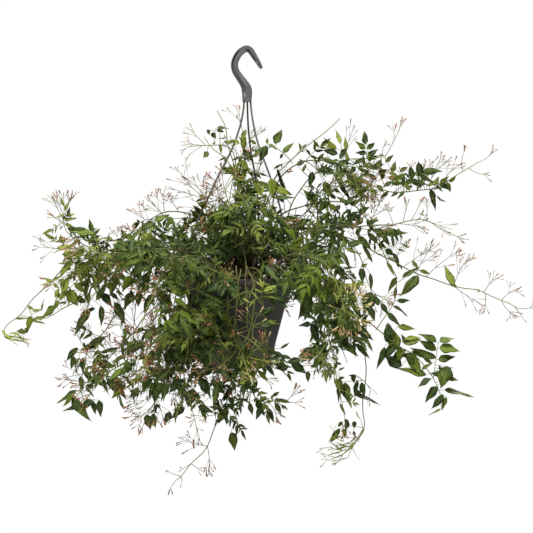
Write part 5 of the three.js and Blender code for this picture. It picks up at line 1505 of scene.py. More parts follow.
# Leaflets set over several stems. Each grows from the one whose path passes closest to its foot.
SHARED_BLADES: tuple[tuple[str, str], ...] = (
    ("left_front left_fill left_droop left_arch", """
    97 234 73 233 .2 .38, 97 236 93 246 .1 .5, 112 240 101 236 .3 .4, 138 243 114 249 .1 .36,
    147 251 124 258 .2 .5, 142 243 181 259 .25 .36, 162 262 136 270 .1 .4, 71 278 62 297 .75 .6,
    73 264 62 278 .8 .5, 70 291 83 304 .7 .6, 73 245 57 254 .8 .3, 77 283 90 292 .6 .5,
    117 302 129 323 0 .36, 104 293 116 305 .05 .5, 132 292 128 311 .05 .4, 142 290 137 307 .2 .4,
    155 294 143 312 0 .36, 157 288 174 308 .45 .36, 162 310 178 311 .5 .36, 153 222 136 232 .3 .42,
    153 220 169 216 .35 .4, 166 217 176 224 .3 .5, 120 262 104 272 .3 .5, 108 276 92 284 .5 .5,
    134 276 122 290 .3 .45, 150 272 146 290 .2 .45, 90 262 80 276 .7 .5, 158 246 150 232 .2 .4,
    126 238 120 228 .1 .4, 88 250 76 262 .6 .5"""),
    ("low_left_front low_left_inner front_far_left low_left_middle low_left_fill", """
    148 336 168 322 .15 .42, 164 334 187 346 0 .42, 181 342 186 369 0 .45, 200 336 190 366 0 .5,
    206 342 213 367 .05 .5, 146 361 163 352 .7 .55, 173 347 169 363 0 .6, 161 378 157 400 0 .5,
    173 380 162 397 0 .4, 184 375 171 387 0 .5, 196 384 193 403 0 .6, 188 402 174 412 .05 .4,
    173 407 169 421 .05 .5, 150 410 155 425 .05 .5, 156 411 161 423 .1 .4, 204 376 212 392 0 .5,
    130 352 116 362 0 .4, 136 360 124 374 .1 .45, 146 340 132 352 .1 .4, 176 326 162 338 .1 .45,
    142 384 134 396 .1 .4, 128 382 118 396 .2 .4, 186 330 176 346 .2 .45, 152 372 146 388 .1 .4,
    198 364 206 380 0 .45"""),
    ("bottom_middle front_left front_middle bottom_whip bottom_right", """
    213 376 228 392 0 .45, 218 398 226 415 0 .5, 201 401 217 405 .05 .4, 232 427 238 444 .2 .5,
    208 290 230 284 .05 .4, 226 286 247 300 0 .42, 196 348 222 353 .05 .36, 202 340 226 344 .1 .4,
    203 325 218 333 .5 .45, 238 366 226 378 .05 .45, 242 372 252 388 .1 .4, 234 384 222 396 0 .45,
    228 404 218 418 .05 .4, 262 290 280 286 .85 .28, 258 366 270 380 .2 .3, 246 356 258 366 .3 .4,
    216 362 204 374 0 .45, 230 352 240 366 .1 .45, 222 312 234 326 .2 .45, 212 300 222 316 .3 .45"""),
    ("right_low right_front right_middle", """
    306 292 304 319 0 .45, 300 312 316 316 .05 .36, 310 322 298 325 0 .5, 310 322 321 344 0 .45,
    334 295 320 303 0 .5, 362 307 371 292 0 .6, 368 306 375 321 .05 .4, 334 330 347 349 0 .5,
    352 326 373 336 0 .4, 346 322 357 335 0 .5, 300 357 285 359 0 .45, 288 364 275 367 .05 .5,
    292 360 304 372 0 .5, 315 346 296 354 .05 .4, 310 350 300 362 .05 .5, 306 368 309 380 .1 .4,
    334 376 340 389 .6 .4, 322 312 312 326 .05 .45, 328 318 338 334 0 .45, 320 352 312 366 .1 .45,
    330 300 344 312 .1 .4, 326 340 314 350 .05 .4, 318 284 306 296 .1 .45"""),
    ("right_upper right_top_leaves", """
    392 172 397 161 .3 .42, 396 180 406 172 .2 .42, 404 184 416 178 .2 .38, 410 176 420 172 .3 .38,
    398 178 388 172 .1 .42, 416 186 424 180 .3 .38, 426 186 440 181 .5 .38, 440 184 450 177 .4 .42,
    384 186 394 182 .05 .42, 380 172 390 168 .1 .42, 372 184 364 190 .1 .42, 388 192 380 198 .1 .4,
    362 184 354 192 0 .45, 376 180 368 172 .05 .45, 400 172 408 166 .3 .4, 450 182 458 176 .4 .35"""),
    ("bottom_right front_middle", """
    268 346 280 352 .1 .34, 262 350 272 360 .1 .34, 256 352 262 364 .2 .34, 270 356 284 352 0 .34,
    274 360 288 364 0 .34, 280 345 290 340 0 .25, 266 362 276 372 0 .34, 276 348 286 356 .1 .3,
    282 352 292 356 0 .34, 258 395 262 412 0 .4, 262 400 256 415 0 .36, 268 404 272 418 0 .4,
    275 398 282 410 .1 .36, 250 398 254 410 0 .4, 266 392 258 400 .1 .4, 272 392 280 388 .1 .4,
    252 388 262 384 .2 .4, 258 378 250 386 .1 .4, 262 372 268 364 .3 .3, 254 372 260 362 .5 .3,
    250 366 256 376 .4 .3, 246 374 238 382 .1 .4"""),
    ("right_middle right_mid right_low", """
    344 206 356 196 .1 .4, 350 210 340 216 .05 .42, 358 214 368 206 0 .45, 362 218 354 228 0 .45,
    368 224 378 218 .1 .4, 346 204 336 196 .1 .4, 340 206 332 214 .1 .42, 336 210 326 204 .2 .4,
    356 212 348 222 .05 .42, 372 232 382 228 .1 .4, 366 220 374 232 0 .4, 350 206 362 200 .1 .4,
    330 214 318 220 .15 .42, 324 218 334 226 .1 .42, 344 220 354 230 0 .42, 336 222 328 232 .1 .42"""),
)


# ------------------------------------------------------------------ foliage
@dataclass
class Bunch:
    """Rows of one kind of sprig, gathered from many stems before they are made at once."""

    columns: dict[str, list[Array]] = field(default_factory=dict)

    def put(self, **columns: Array) -> None:
        """Adds rows; every column has as many."""
        for key, value in columns.items():
            self.columns.setdefault(key, []).append(np.asarray(value, float))

    def table(self) -> dict[str, Array]:
        """Each column as one array."""
        return {key: np.concatenate(values) for key, values in self.columns.items()}

    def __len__(self) -> int:
        """How many rows there are."""
        return sum(len(v) for v in next(iter(self.columns.values()), []))


@dataclass
class Harvest:
    """What the stems of one sector bear."""

    leaves: Bunch = field(default_factory=Bunch)
    sprays: Bunch = field(default_factory=Bunch)
    blades: Bunch = field(default_factory=Bunch)


@dataclass(frozen=True)
class LeafHabit:
    """How a pinnate leaf is built; a share is of its length unless it says otherwise."""

    length: float = 55 * MM
    rib: float = 0.36
    rib_each: float = 0.14  # what each pair of leaflets adds to the rib
    rib_sag: float = 0.38  # share of the rib that its end may hang
    rib_radii: tuple[float, float] = (0.55 * MM, 0.32 * MM)
    length_each: float = 18 * MM  # what a leaf needs for each pair of leaflets
    most_pairs: int = 3
    first_pair: float = 0.9  # where the outer pair sits, as a share of the rib
    pair_gap: float = 0.3
    end_leaflet: float = 0.52
    end_width: tuple[float, float] = (0.25, 0.35)  # shares of the leaflet
    side_leaflet: float = 0.36
    side_width: tuple[float, float] = (0.27, 0.38)
    large_share: float = 0.2  # of the nodes, whose leaves are larger and older
    large_more: float = 0.5


@dataclass(frozen=True)
class SprayHabit:
    """How a flower spray is built: an axis, pairs of branches, and buds in ones to threes."""

    axis: float = 0.86  # share of the spray's length
    axis_radii: tuple[float, float] = (0.5 * MM, 0.36 * MM)
    levels: int = 3
    first_level: float = 0.36  # share of the axis
    level_gap: float = 0.22
    shortest: float = 20  # millimetres that a spray needs to branch at its last level
    shortest_each: float = 8  # more for each level before it
    branch: float = 0.42  # share of the spray's length
    branch_less: float = 0.09  # shorter with each level
    branch_radii: tuple[float, float] = (0.36 * MM, 0.28 * MM)
    branch_chance: float = 0.66
    seat_radii: tuple[float, float] = (0.26 * MM, 0.32 * MM)
    seat_length: tuple[float, float] = (1.5, 3.5)  # millimetres
    side_seat_length: tuple[float, float] = (3.5, 8.0)
    side_chance: float = 0.5  # that a bud has another beside it on one side
    bud_length: tuple[float, float] = (6.0, 10.5)  # millimetres
    bud_radius: tuple[float, float] = (0.084, 0.112)  # shares of the bud
    near: tuple[float, float] = (55 * MM, 125 * MM)  # towards the room, where buds are stouter


@dataclass(frozen=True)
class StemHabit:
    """How a stem is built: lengths in millimetres, but radii of what it bears in metres."""

    radius: float = 1.25
    taper: float = 0.6
    sides: int = 7
    step: float = 4.0
    sway: float = 2.2
    root_depth: float = 8.0  # below the soil's top
    neck_rise: float = 7.0  # above it
    knot: float = 2.4  # half length of the swelling at a node
    first_node: float = 20.0
    end_clear: float = 6.0
    rib_radii: tuple[float, float] = (0.6 * MM, 0.6 * MM * 0.7)
    stalk_radii: tuple[float, float] = (0.4 * MM, 0.4 * MM * 0.8)


@dataclass(frozen=True)
class ShootHabit:
    """How a side shoot is built and what it bears."""

    length: tuple[float, float] = (34, 82)  # millimetres
    radii: tuple[float, float] = (0.85 * MM, 0.5 * MM)
    leaf_places: tuple[float, float] = (0.5, 0.8)  # shares of its length
    leaf_chance: float = 0.8
    leaf_size: tuple[float, float] = (0.45, 0.75)  # shares of a leaf on the stem
    clear_ahead: float = 36  # millimetres beyond its tip that no clearing may touch
    box_ahead: float = 20  # millimetres beyond its tip that must be inside the box
    bloom_chance: float = 0.5
    bloom_length: tuple[float, float] = (34, 58)  # millimetres
    bloom_pale: float = 0.2


@dataclass
class Foliage:
    """All leafy stems with their side shoots, pinnate leaves and sprays of buds."""

    leaf: "bpy.types.Material"
    stem: "bpy.types.Material"
    bud: "bpy.types.Material"
    habit: StemHabit = StemHabit()
    leaf_habit: LeafHabit = LeafHabit()
    spray_habit: SprayHabit = SprayHabit()
    shoot_habit: ShootHabit = ShootHabit()
    soil_z: float = SOIL_Z
    root_ring: float = 62 * MM
    golden_angle: float = 2.39996  # between neighbours on the spiral, in radians
    single_stations: int = 9  # sections of the leaflets that are set one by one
    seed: int = 1
    rng: np.random.Generator = field(default_factory=np.random.default_rng)

    def roots(self, vines: Sequence[Vine]) -> Array:
        """Where the stems stand in the soil: places on a sunflower's spiral, nearest first."""
        i = np.arange(len(vines))
        r = self.root_ring * np.sqrt((i + 0.5) / len(vines))
        turn = i * self.golden_angle
        free = list(np.stack([POT_X + r * np.cos(turn), r * np.sin(turn)], 1))
        chosen = []
        for vine in vines:
            away = vine.points()[0, :2] * MM - [POT_X, 0]
            reach = min(1.0, self.root_ring / max(np.linalg.norm(away), MM)) * 0.9
            target = away * reach + [POT_X, 0]
            best = int(np.argmin([np.linalg.norm(place - target) for place in free]))
            chosen.append(free.pop(best))
        return np.array(chosen)

    def leaf_rows(self, bunch: Bunch, foot: Array, tangent: Array, outward: Array,
                  size: Array, age: Array, spread: float = 1.0, noted: bool = False) -> None:
        """Adds leaves that leave a stem outwards and let their tips hang.

        Args:
            bunch: Where the rows go.
            foot: Where each leaf joins the stem. tangent: The stem's direction there.
            outward: Away from the stem. size: Leaf lengths. age: 0 old to 1 young.
            spread: How far the directions may stray.
            noted: True for leaves that stay also where they cross a clearing.
        """
        rng = self.rng
        n = len(foot)
        hang = rng.uniform(-0.5, 0.75, n)[:, None]
        along = 0.4 * tangent + outward * 0.9 + spread * (rng.normal(0, 0.28, (n, 3)) - UP * hang)
        if not noted:
            keep = clear_of(foot + unit(along) * size[:, None] * 0.65)
            keep &= inside_box(foot + unit(along) * size[:, None])
            foot, along, size, age = foot[keep], along[keep], size[keep], age[keep]
            n = len(foot)
        away = unit((foot - [POT_X, 0, 0]) * [1, 1, 0])
        front = np.sign(foot[:, 1] + rng.normal(0, 40 * MM, n))[:, None] * [0, 1, 0]
        facing = away * 0.5 + front * 0.6 + UP * 0.45 + rng.normal(0, 0.35, (n, 3))
        # The tone holds painted shade for leaves low down and close to the pot.
        tone = tone_and_painted_shade(foot, rng.random(n))
        droop = rng.uniform(0.0, 0.7, n)
        pairs = np.round(size / self.leaf_habit.length_each + rng.normal(0, 0.35, n))
        bunch.put(foot=foot, along=unit(along), facing=facing, size=size, age=age, tone=tone,
                  droop=droop, pairs=np.clip(pairs, 1, self.leaf_habit.most_pairs),
                  noted=np.full(n, float(noted)))

    def spray_rows(self, bunch: Bunch, foot: Array, along: Array, length: Array,
                   pale: Array) -> None:
        """Adds flower sprays: where they start, where they point, how long and how pale."""
        rng = self.rng
        keep = inside_box(foot + unit(along) * length[:, None] * 1.1)
        foot, along, length, pale = foot[keep], along[keep], length[keep], pale[keep]
        n = len(foot)
        bunch.put(foot=foot, along=unit(along), length=length, pale=pale,
                  facing=rng.normal(0, 1, (n, 3)), tone=rng.random(n))

    def leaves(self, bunch: Bunch) -> tuple[Shell, Shell]:
        """Makes pinnate leaves: a bent rib, opposite leaflets along it and a larger one at its end.

        Args:
            bunch: Rows of leaves.

        Returns:
            The leaflets and the ribs.
        """
        rng, habit = self.rng, self.leaf_habit
        t = bunch.table()
        n = len(t["size"])
        foot, along, size, pairs = t["foot"], t["along"], t["size"][:, None], t["pairs"]
        normal = square_to(t["facing"], along)
        across = np.cross(normal, along)
        rib = (habit.rib + habit.rib_each * pairs[:, None]) * size
        p1 = foot + along * rib * 0.55
        p2 = foot + along * rib - UP * rib * habit.rib_sag * t["droop"][:, None]
        tint = np.stack([t["age"], t["tone"], 0.1 + 0 * t["age"]], 1)
        # The ribs take the leaves' tone, painted shade included.
        shade = np.stack([0.5 + 0.5 * t["age"], t["tone"], 0.25 + 0 * t["age"]], 1)
        ribs = twigs(foot, p1, p2, habit.rib_radii, shade)
        end, end_way = at_share(foot, p1, p2, 1.0)
        made = Bunch()
        final = habit.end_leaflet * size[:, 0] * rng.uniform(0.85, 1.25, n)
        made.put(foot=end, along=end_way + rng.normal(0, 0.12, (n, 3)), facing=normal,
                 length=final, width=final * rng.uniform(*habit.end_width, n), noted=t["noted"],
                 curl=rng.uniform(0.05, 0.5, n), fold=rng.uniform(0.02, 0.6, n), tint=tint)
        for pair in range(habit.most_pairs):
            has = pairs > pair
            place = (habit.first_pair - habit.pair_gap * (pairs - 1 - pair))[has]
            at, way = at_share(foot[has], p1[has], p2[has], place)
            m = len(at)
            for side in (-1.0, 1.0):
                spread = rng.uniform(0.65, 1.1, m)[:, None]
                aim = way * np.cos(spread) + side * across[has] * np.sin(spread)
                aim = aim - UP * rng.uniform(-0.1, 0.45, m)[:, None] + rng.normal(0, 0.1, (m, 3))
                length = habit.side_leaflet * size[has, 0] * rng.uniform(0.75, 1.2, m)
                made.put(foot=at, along=aim, facing=normal[has] + rng.normal(0, 0.25, (m, 3)),
                         length=length, width=length * rng.uniform(*habit.side_width, m),
                         noted=t["noted"][has], curl=rng.uniform(0.0, 0.5, m),
                         fold=rng.uniform(0.02, 0.6, m), tint=tint[has])
        m = made.table()
        m["tint"][:, 1] = np.clip(m["tint"][:, 1] + rng.normal(0, 0.12, len(m["tint"])), 0, 1)
        middle = m["foot"] + unit(m["along"]) * (m["length"] * 0.6)[:, None]
        ends = m["foot"] + unit(m["along"]) * m["length"][:, None]
        keep = outside_pot(middle) & (clear_of(middle) | (m["noted"] > 0))
        keep &= outside_pot(ends) & inside_box(ends)
        return self.blades({key: value[keep] for key, value in m.items()}), ribs

    def blades(self, table: dict[str, Array], stations: int = 5) -> Shell:
        """Leaflets from a table of their columns, each with a wave of its own."""
        wave = self.rng.uniform(0, 6.28, len(table["length"]))
        return leaflets(table["foot"], table["along"], table["facing"], table["length"],
                        table["width"], table["curl"], table["fold"], wave, table["tint"], stations)

    def sprays(self, bunch: Bunch) -> tuple[Shell, Shell]:
        """Makes airy flower sprays: a thin axis with opposite branches, and buds at each end.

        Args:
            bunch: Rows of sprays.

        Returns:
            The buds and the stalks.
        """
        rng, habit = self.rng, self.spray_habit
        t = bunch.table()
        n = len(t["length"])
        foot, along, length = t["foot"], t["along"], t["length"][:, None]
        normal = square_to(t["facing"], along)
        across = np.cross(normal, along)
        p1 = foot + along * length * 0.5 + rng.normal(0, 0.05, (n, 3)) * length
        p2 = foot + along * length * habit.axis + rng.normal(0, 0.08, (n, 3)) * length
        tint = np.stack([0.62 - 0.25 * t["tone"] + 0.4 * t["pale"], t["tone"],
                         0.02 + 0.42 * (1 - t["pale"])], 1)
        stalks = [twigs(foot, p1, p2, habit.axis_radii, tint, 4, 5)]
        ends = Bunch()
        end, way = at_share(foot, p1, p2, 1.0)
        ends.put(foot=end, along=way, who=np.arange(n))
        for level in range(habit.levels):
            place = habit.first_level + habit.level_gap * level + rng.uniform(-0.05, 0.05, n)
            at, way = at_share(foot, p1, p2, place)
            turn = (level * 1.5 + rng.uniform(-0.4, 0.4, n))[:, None]
            out = np.cos(turn) * across + np.sin(turn) * normal
            least = (habit.shortest + habit.shortest_each * (habit.levels - 1 - level)) * MM
            share = habit.branch - habit.branch_less * level
            for side in (-1.0, 1.0):
                has = (rng.random(n) < habit.branch_chance) & (length[:, 0] > least)
                m = int(has.sum())
                aim = unit(way * rng.uniform(0.8, 1.5, (n, 1)) + side * out
                           + rng.normal(0, 0.12, (n, 3)))[has]
                reach = (length[has, 0] * share * rng.uniform(0.6, 1.15, m))[:, None]
                start = at[has]
                tip = start + (aim + 0.22 * way[has]) * reach
                stalks.append(twigs(start, start + aim * reach * 0.5, tip, habit.branch_radii,
                                    tint[has], 3, 3))
                ends.put(foot=tip, along=aim + 0.35 * way[has], who=np.flatnonzero(has))
        buds_made, seats = self.bud_clusters(ends.table(), t, tint)
        return buds_made, Shell.join([*stalks, seats])

    def bud_clusters(self, ends: dict[str, Array], sprays: dict[str, Array],
                     tint: Array) -> tuple[Shell, Shell]:
        """Buds in ones to threes at the ends of a spray's branches, each on a short seat.

        Args:
            ends: Where the branches end, their directions, and whose they are.
            sprays: The sprays' own columns. tint: Their stalks' three numbers.

        Returns:
            The buds and their seats.
        """
        rng, habit = self.rng, self.spray_habit
        count = len(ends["who"])
        main = unit(ends["along"] + rng.normal(0, 0.1, (count, 3)))
        off = np.cross(main, unit(rng.normal(0, 1, (count, 3))))
        made = Bunch()
        made.put(foot=ends["foot"], along=main, who=ends["who"],
                 reach=rng.uniform(*habit.seat_length, count) * MM)
        for side in (-1.0, 1.0):
            has = rng.random(count) < habit.side_chance
            aim = unit(main + side * off * rng.uniform(0.5, 1.1, (count, 1)))[has]
            made.put(foot=ends["foot"][has], along=aim, who=ends["who"][has],
                     reach=rng.uniform(*habit.side_seat_length, int(has.sum())) * MM)
        e = made.table()
        who = e["who"].astype(int)
        m = len(who)
        aim = unit(e["along"])
        reach = e["reach"][:, None]
        seat = e["foot"] + aim * reach
        seats = twigs(e["foot"], e["foot"] + aim * reach * 0.5, seat, habit.seat_radii,
                      tint[who], 3, 2)
        pale = np.clip(sprays["pale"][who] + rng.normal(0, 0.2, m), 0, 1)
        near = smooth(-seat[:, 1], *habit.near)
        length = rng.uniform(*habit.bud_length, m) * (1 + 0.18 * near) * MM
        stout = length * (rng.uniform(*habit.bud_radius, m) + 0.022 * near)
        bow = rng.normal(0, 0.05, (m, 3)) * length[:, None]
        tone = np.clip(sprays["tone"][who] + rng.normal(0, 0.25, m), 0, 1)
        return buds(seat, aim, length, stout, bow, np.stack([pale, tone, 0 * pale], 1)), seats

    def dress(self, vine: Vine, root: Array, harvest: Harvest) -> list[Shell]:
        """Lays out one stem: its own tube, its leaves, its side shoots and its sprays.

        Args:
            vine: The stem's plan. root: Where it stands in the soil.
            harvest: Gathers what the stem bears.

        Returns:
            The stem's own shells.
        """
        habit = self.habit
        neck = np.array([*root, self.soil_z + habit.neck_rise * MM])
        line = spline(np.vstack([neck, vine.points() * MM]), habit.step * MM)
        line = line + wander(len(line), habit.step, self.rng) * habit.sway * MM
        gaps = np.linalg.norm(np.diff(line, axis=0), axis=1)
        along = np.concatenate([[0.0], np.cumsum(gaps)])
        total = along[-1]
        gap = vine.gap * MM
        first = max(vine.bare * total, habit.first_node * MM)
        stops = np.arange(first, vine.full * total - habit.end_clear * MM, gap)
        stops = stops + self.rng.uniform(-0.18, 0.18, len(stops)) * gap
        foot = np.array([*root, self.soil_z - habit.root_depth * MM])
        side = self.sideways(foot, line[-1])
        shells = [self.tube(foot, line, along, stops, side)]
        if len(stops):
            shells += self.node_leaves(vine, line, along, stops, side, harvest)
        if vine.sprays:
            place, length, pale = rows(vine.sprays).T
            start, ahead = self.on_line(line, along, place * total)
            tip = (place > 0.99)[:, None]
            away = square_to(self.rng.normal(0, 1, ahead.shape) * [1, 1, 0.4], ahead)
            aim = np.where(tip, ahead + 0.25 * UP, 0.7 * ahead + 0.55 * away + 0.45 * UP)
            self.spray_rows(harvest.sprays, start, aim, length * MM, pale)
        return shells + self.noted(vine, line, harvest)

    @staticmethod
    def sideways(foot: Array, tip: Array) -> Array:
        """A direction across the way from a stem's foot to its tip, level but for a little."""
        ahead = unit((tip - foot) * [1, 1, 0.02])
        return np.array([[-ahead[1], ahead[0], 0.15]])

    def tube(self, foot: Array, line: Array, along: Array, stops: Array, side: Array) -> Shell:
        """The stem's own skin, tapering to its tip and swelling at its nodes.

        Args:
            foot: Its end in the soil. line: Its centre line. along: Distances on the line.
            stops: Distances of its nodes. side: A direction across it.

        Returns:
            The skin, tinted by age from foot to tip.
        """
        habit = self.habit
        points = np.vstack([foot, line])
        share = np.concatenate([[0.0], along / along[-1]])
        apart = np.concatenate([[-1.0], along])[:, None] - stops
        knots = np.exp(-((apart / (habit.knot * MM)) ** 2)).sum(1)
        radius = (habit.radius - habit.taper * share) * MM * (1 + 0.3 * knots)
        tangent = unit(np.gradient(points, axis=0))
        rings = rings_round(points[None], tangent[None], radius[None], side, habit.sides)
        coords = round_coords(1, share, habit.sides)
        shell = skin(rings, points[:1], points[-1:], coords, np.zeros((1, 3)))
        youth = np.clip(0.05 + share * 0.85, 0, 1)
        ages = np.concatenate([np.repeat(youth, habit.sides), youth[:1], youth[-1:]])
        shell.tint = np.stack([ages, 0.5 + 0 * ages, 0.15 + 0 * ages], 1)
        return shell

    def node_leaves(self, vine: Vine, line: Array, along: Array, stops: Array, side: Array,
                    harvest: Harvest) -> list[Shell]:
        """Opposite leaves at a stem's nodes, with side shoots in some of their axils.

        Args:
            vine: The stem's plan. line: Its centre line. along: Distances on the line.
            stops: Distances of its nodes. side: A direction across it.
            harvest: Gathers what the stem bears.

        Returns:
            The shoots' own tubes.
        """
        rng = self.rng
        total = along[-1]
        at, way = self.on_line(line, along, stops)
        count = len(stops)
        level = square_to(np.broadcast_to(side, way.shape), way)
        rise = np.cross(way, level)
        turn = np.arange(count) * math.pi / 2 + 0.8 + rng.uniform(-0.45, 0.45, count)
        age = vine.youth * smooth(stops / total, 0.35, 1.0) + 0.5 * rng.random(count) ** 2
        size = self.leaf_habit.length * vine.size * rng.uniform(0.62, 1.1, count)
        large = (rng.random(count) < self.leaf_habit.large_share) & (stops < 0.8 * total)
        size = size * (1.0 - 0.3 * smooth(stops / total, 0.75, 1.0))
        size = size * (1.0 + self.leaf_habit.large_more * large)
        age = age * (1.0 - 0.7 * large)
        shoots = []
        for opposite in (0.0, math.pi):
            a = (turn + opposite)[:, None]
            outward = np.cos(a) * level + np.sin(a) * rise
            one_size = size * rng.uniform(0.85, 1.1, count)
            self.leaf_rows(harvest.leaves, at, way, outward, one_size, age)
            takes = rng.random(count) < vine.shoots
            if takes.any():
                shoots.append(self.side_shoots(at[takes], way[takes], outward[takes], age[takes],
                                               vine.size, harvest))
        return shoots

    def side_shoots(self, at: Array, way: Array, outward: Array, age: Array, scale: float,
                    harvest: Harvest) -> Shell:
        """Short shoots from a stem's nodes, with small leaves and a spray at some ends.

        Args:
            at: Where they start. way: The stem's direction. outward: Away from the stem.
            age: Of the leaves there. scale: The stem's leaf size. harvest: Gathers what they bear.

        Returns:
            The shoots' own tubes.
        """
        rng, habit = self.rng, self.shoot_habit
        n = len(at)
        reach = rng.uniform(*habit.length, n)[:, None] * MM
        aim = unit(0.7 * way + 0.8 * outward + rng.uniform(-0.5, 0.5, n)[:, None] * UP)
        p1 = at + aim * reach * 0.55 + UP * reach * 0.1
        p2 = at + aim * reach + UP * rng.uniform(-0.4, 0.35, n)[:, None] * reach
        keep = clear_of(p2) & clear_of(p2 + aim * habit.clear_ahead * MM)
        keep &= inside_box(p2 + aim * habit.box_ahead * MM)
        at, age, p1, p2 = at[keep], age[keep], p1[keep], p2[keep]
        n = len(at)
        tint = np.stack([0.6 + 0.4 * age, rng.random(n), np.full(n, 0.3)], 1)
        tubes = twigs(at, p1, p2, habit.radii, tint, 5, 7)
        for place in habit.leaf_places:
            spot, ahead = at_share(at, p1, p2, place)
            across = square_to(np.cross(ahead, UP) + rng.normal(0, 0.5, (n, 3)), ahead)
            for side in (-1.0, 1.0):
                some = rng.random(n) < habit.leaf_chance
                size = self.leaf_habit.length * scale * rng.uniform(*habit.leaf_size, n)
                self.leaf_rows(harvest.leaves, spot[some], ahead[some], side * across[some],
                               size[some], np.clip(age[some] + 0.15, 0, 1))
        end, ahead = at_share(at, p1, p2, 1.0)
        blooms = rng.random(n) < habit.bloom_chance
        length = rng.uniform(*habit.bloom_length, n)[blooms] * MM
        self.spray_rows(harvest.sprays, end[blooms], (ahead + 0.15 * UP)[blooms], length,
                        np.full(n, habit.bloom_pale)[blooms])
        return tubes

    def noted(self, vine: Vine, line: Array, harvest: Harvest) -> list[Shell]:
        """The stem's set ribs, sprays, leaves and leaflets.

        Args:
            vine: The stem's plan. line: Its centre line. harvest: Gathers what is set.

        Returns:
            The ribs' and the short stalks' tubes.
        """
        shells, seats = self.noted_ribs(vine, line)
        if vine.stalks:
            x, z, angle, length, pale = seen(vine.stalks).T
            self.spray_rows(harvest.sprays, nearest(seats, x, z), self.in_view(angle, 0.22),
                            length * MM, pale)
        if vine.leaves:
            x, z, angle, size, age = seen(vine.leaves).T
            start = nearest(seats, x, z)
            self.leaf_rows(harvest.leaves, start, 0 * start, self.in_view(angle, 0.25),
                           size * MM, age, 0.2, True)
        leaflets = leaflets_of(vine)
        if len(leaflets):
            shells.append(self.noted_leaflets(leaflets, seats, harvest.blades))
        return shells

    def noted_ribs(self, vine: Vine, line: Array) -> tuple[list[Shell], Array]:
        """Side ribs at noted places, each from the stem or an earlier rib to a noted end.

        Args:
            vine: The stem's plan. line: Its centre line.

        Returns:
            The ribs' tubes, and all places on the stem and its ribs.
        """
        seats = line
        tubes = []
        shade = np.array([[0.9, 0.5, 0.1]])
        for x, z, to_x, to_z in seen(vine.ribs, 2):
            start = nearest(seats, np.array([x]), np.array([z]))
            end = start + [[0, self.rng.normal(0, 4 * MM), 0]]
            end[:, [0, 2]] = np.array([[to_x, to_z]]) * MM
            middle = 0.5 * (start + end) + self.rng.normal(0, 2 * MM, (1, 3))
            tubes.append(twigs(start, middle, end, self.habit.rib_radii, shade, 5, 6))
            places, _ = bend(start, middle, end, np.linspace(0, 1, 14)[None])
            seats = np.vstack([seats, places[0]])
        return tubes, seats

    def noted_leaflets(self, table: Array, seats: Array, bunch: Bunch) -> Shell:
        """Single leaflets at noted places, each on a short stalk from the stem or a noted rib.

        Args:
            table: Rows of foot, tip, youth and width share. seats: All places on the stem and its
            ribs. bunch: Gathers leaflets.

        Returns:
            The short stalks.
        """
        rng = self.rng
        x, z, to_x, to_z, age, ratio = table.T
        n = len(x)
        seat = nearest(seats, x, z)
        foot = np.stack([x * MM, seat[:, 1] + rng.normal(0, 2 * MM, n), z * MM], 1)
        across = np.stack([(to_x - x) * MM, 0 * x, (to_z - z) * MM], 1)
        length = np.linalg.norm(across, axis=1)
        along = across + rng.normal(0, 0.15, n)[:, None] * length[:, None] * [0, 1, 0]
        # Leaflets noted with a youth near 0 take a low tone that paints them dark: old leaves, and
        # painted shade under the foliage.
        tone = np.where(age < 0.08, 0.35, 0.6) * rng.random(n) + np.where(age < 0.15, 0.0, 0.3)
        bunch.put(foot=foot, along=along, length=length * 1.04, width=length * ratio * 1.04,
                  facing=np.array([0, -0.85, 0.45]) + rng.normal(0, 0.22, (n, 3)),
                  curl=rng.uniform(0.0, 0.25, n), fold=rng.uniform(0.02, 0.3, n),
                  tint=np.stack([age, tone, np.full(n, 0.1)], 1))
        shade = np.stack([0.6 + 0.4 * age, np.full(n, 0.5), np.full(n, 0.15)], 1)
        return twigs(seat, 0.5 * (seat + foot), foot, self.habit.stalk_radii, shade, 4, 5)

    @staticmethod
    def on_line(line: Array, along: Array, stops: Array) -> tuple[Array, Array]:
        """Points and unit tangents at distances along a line."""
        at = np.stack([np.interp(stops, along, line[:, k]) for k in range(3)], 1)
        slope = np.gradient(line, axis=0)
        return at, unit(np.stack([np.interp(stops, along, slope[:, k]) for k in range(3)], 1))

    def in_view(self, angle: Array, depth: float) -> Array:
        """Directions at an angle from +X towards +Z, with a random lean along Y."""
        a = np.radians(angle)
        return unit(np.stack([np.cos(a), self.rng.normal(0, depth, len(a)), np.sin(a)], 1))

    def build(self) -> None:
        """Makes every sector's stems, leaves and sprays, and hides the frame's nodes that they replace.
        """
        roots = self.roots(VINES)
        for sector in Sector:
            harvest = Harvest()
            stems, nodes, spray_nodes = [], [], []
            for vine, root in zip(VINES, roots):
                if vine.sector is sector:
                    self.rng = np.random.default_rng([self.seed, *vine.name.encode()])
                    stems += self.dress(vine, root, harvest)
                    nodes += [] if vine.extra else [vine.name]
                    spray_nodes += [f"bud_spray_{vine.name}"] if vine.own_spray else []
            self.rng = np.random.default_rng(len(sector.value))
            blades, ribs = self.leaves(harvest.leaves)
            if len(harvest.blades):
                singles = self.blades(harvest.blades.table(), self.single_stations)
                blades = Shell.join([blades, singles])
            bud_shell, stalks = self.sprays(harvest.sprays)
            label = sector.value
            wood = Shell.join([*stems, ribs])
            make_object(f"leaves_{label}", [(blades, self.leaf)], nodes)
            make_object(f"stems_{label}", [(wood, self.stem)], nodes)
            make_object(f"sprays_{label}", [(bud_shell, self.bud), (stalks, self.stem)],
                        spray_nodes)


def leaflets_of(vine: Vine) -> Array:
    """A stem's set leaflets: its own, then those set over several stems that fall to it."""
    tables = [seen(vine.blades, 2)] if vine.blades else [np.empty((0, 6))]
    for names, notes in SHARED_BLADES:
        if vine.name in names.split():
            table = seen(notes, 2)
            bearers = [other for name in names.split() for other in VINES if other.name == name]
            closest = np.argmin([bearer.gaps(table) for bearer in bearers], axis=0)
            tables.append(table[closest == bearers.index(vine)])
    return np.vstack(tables)


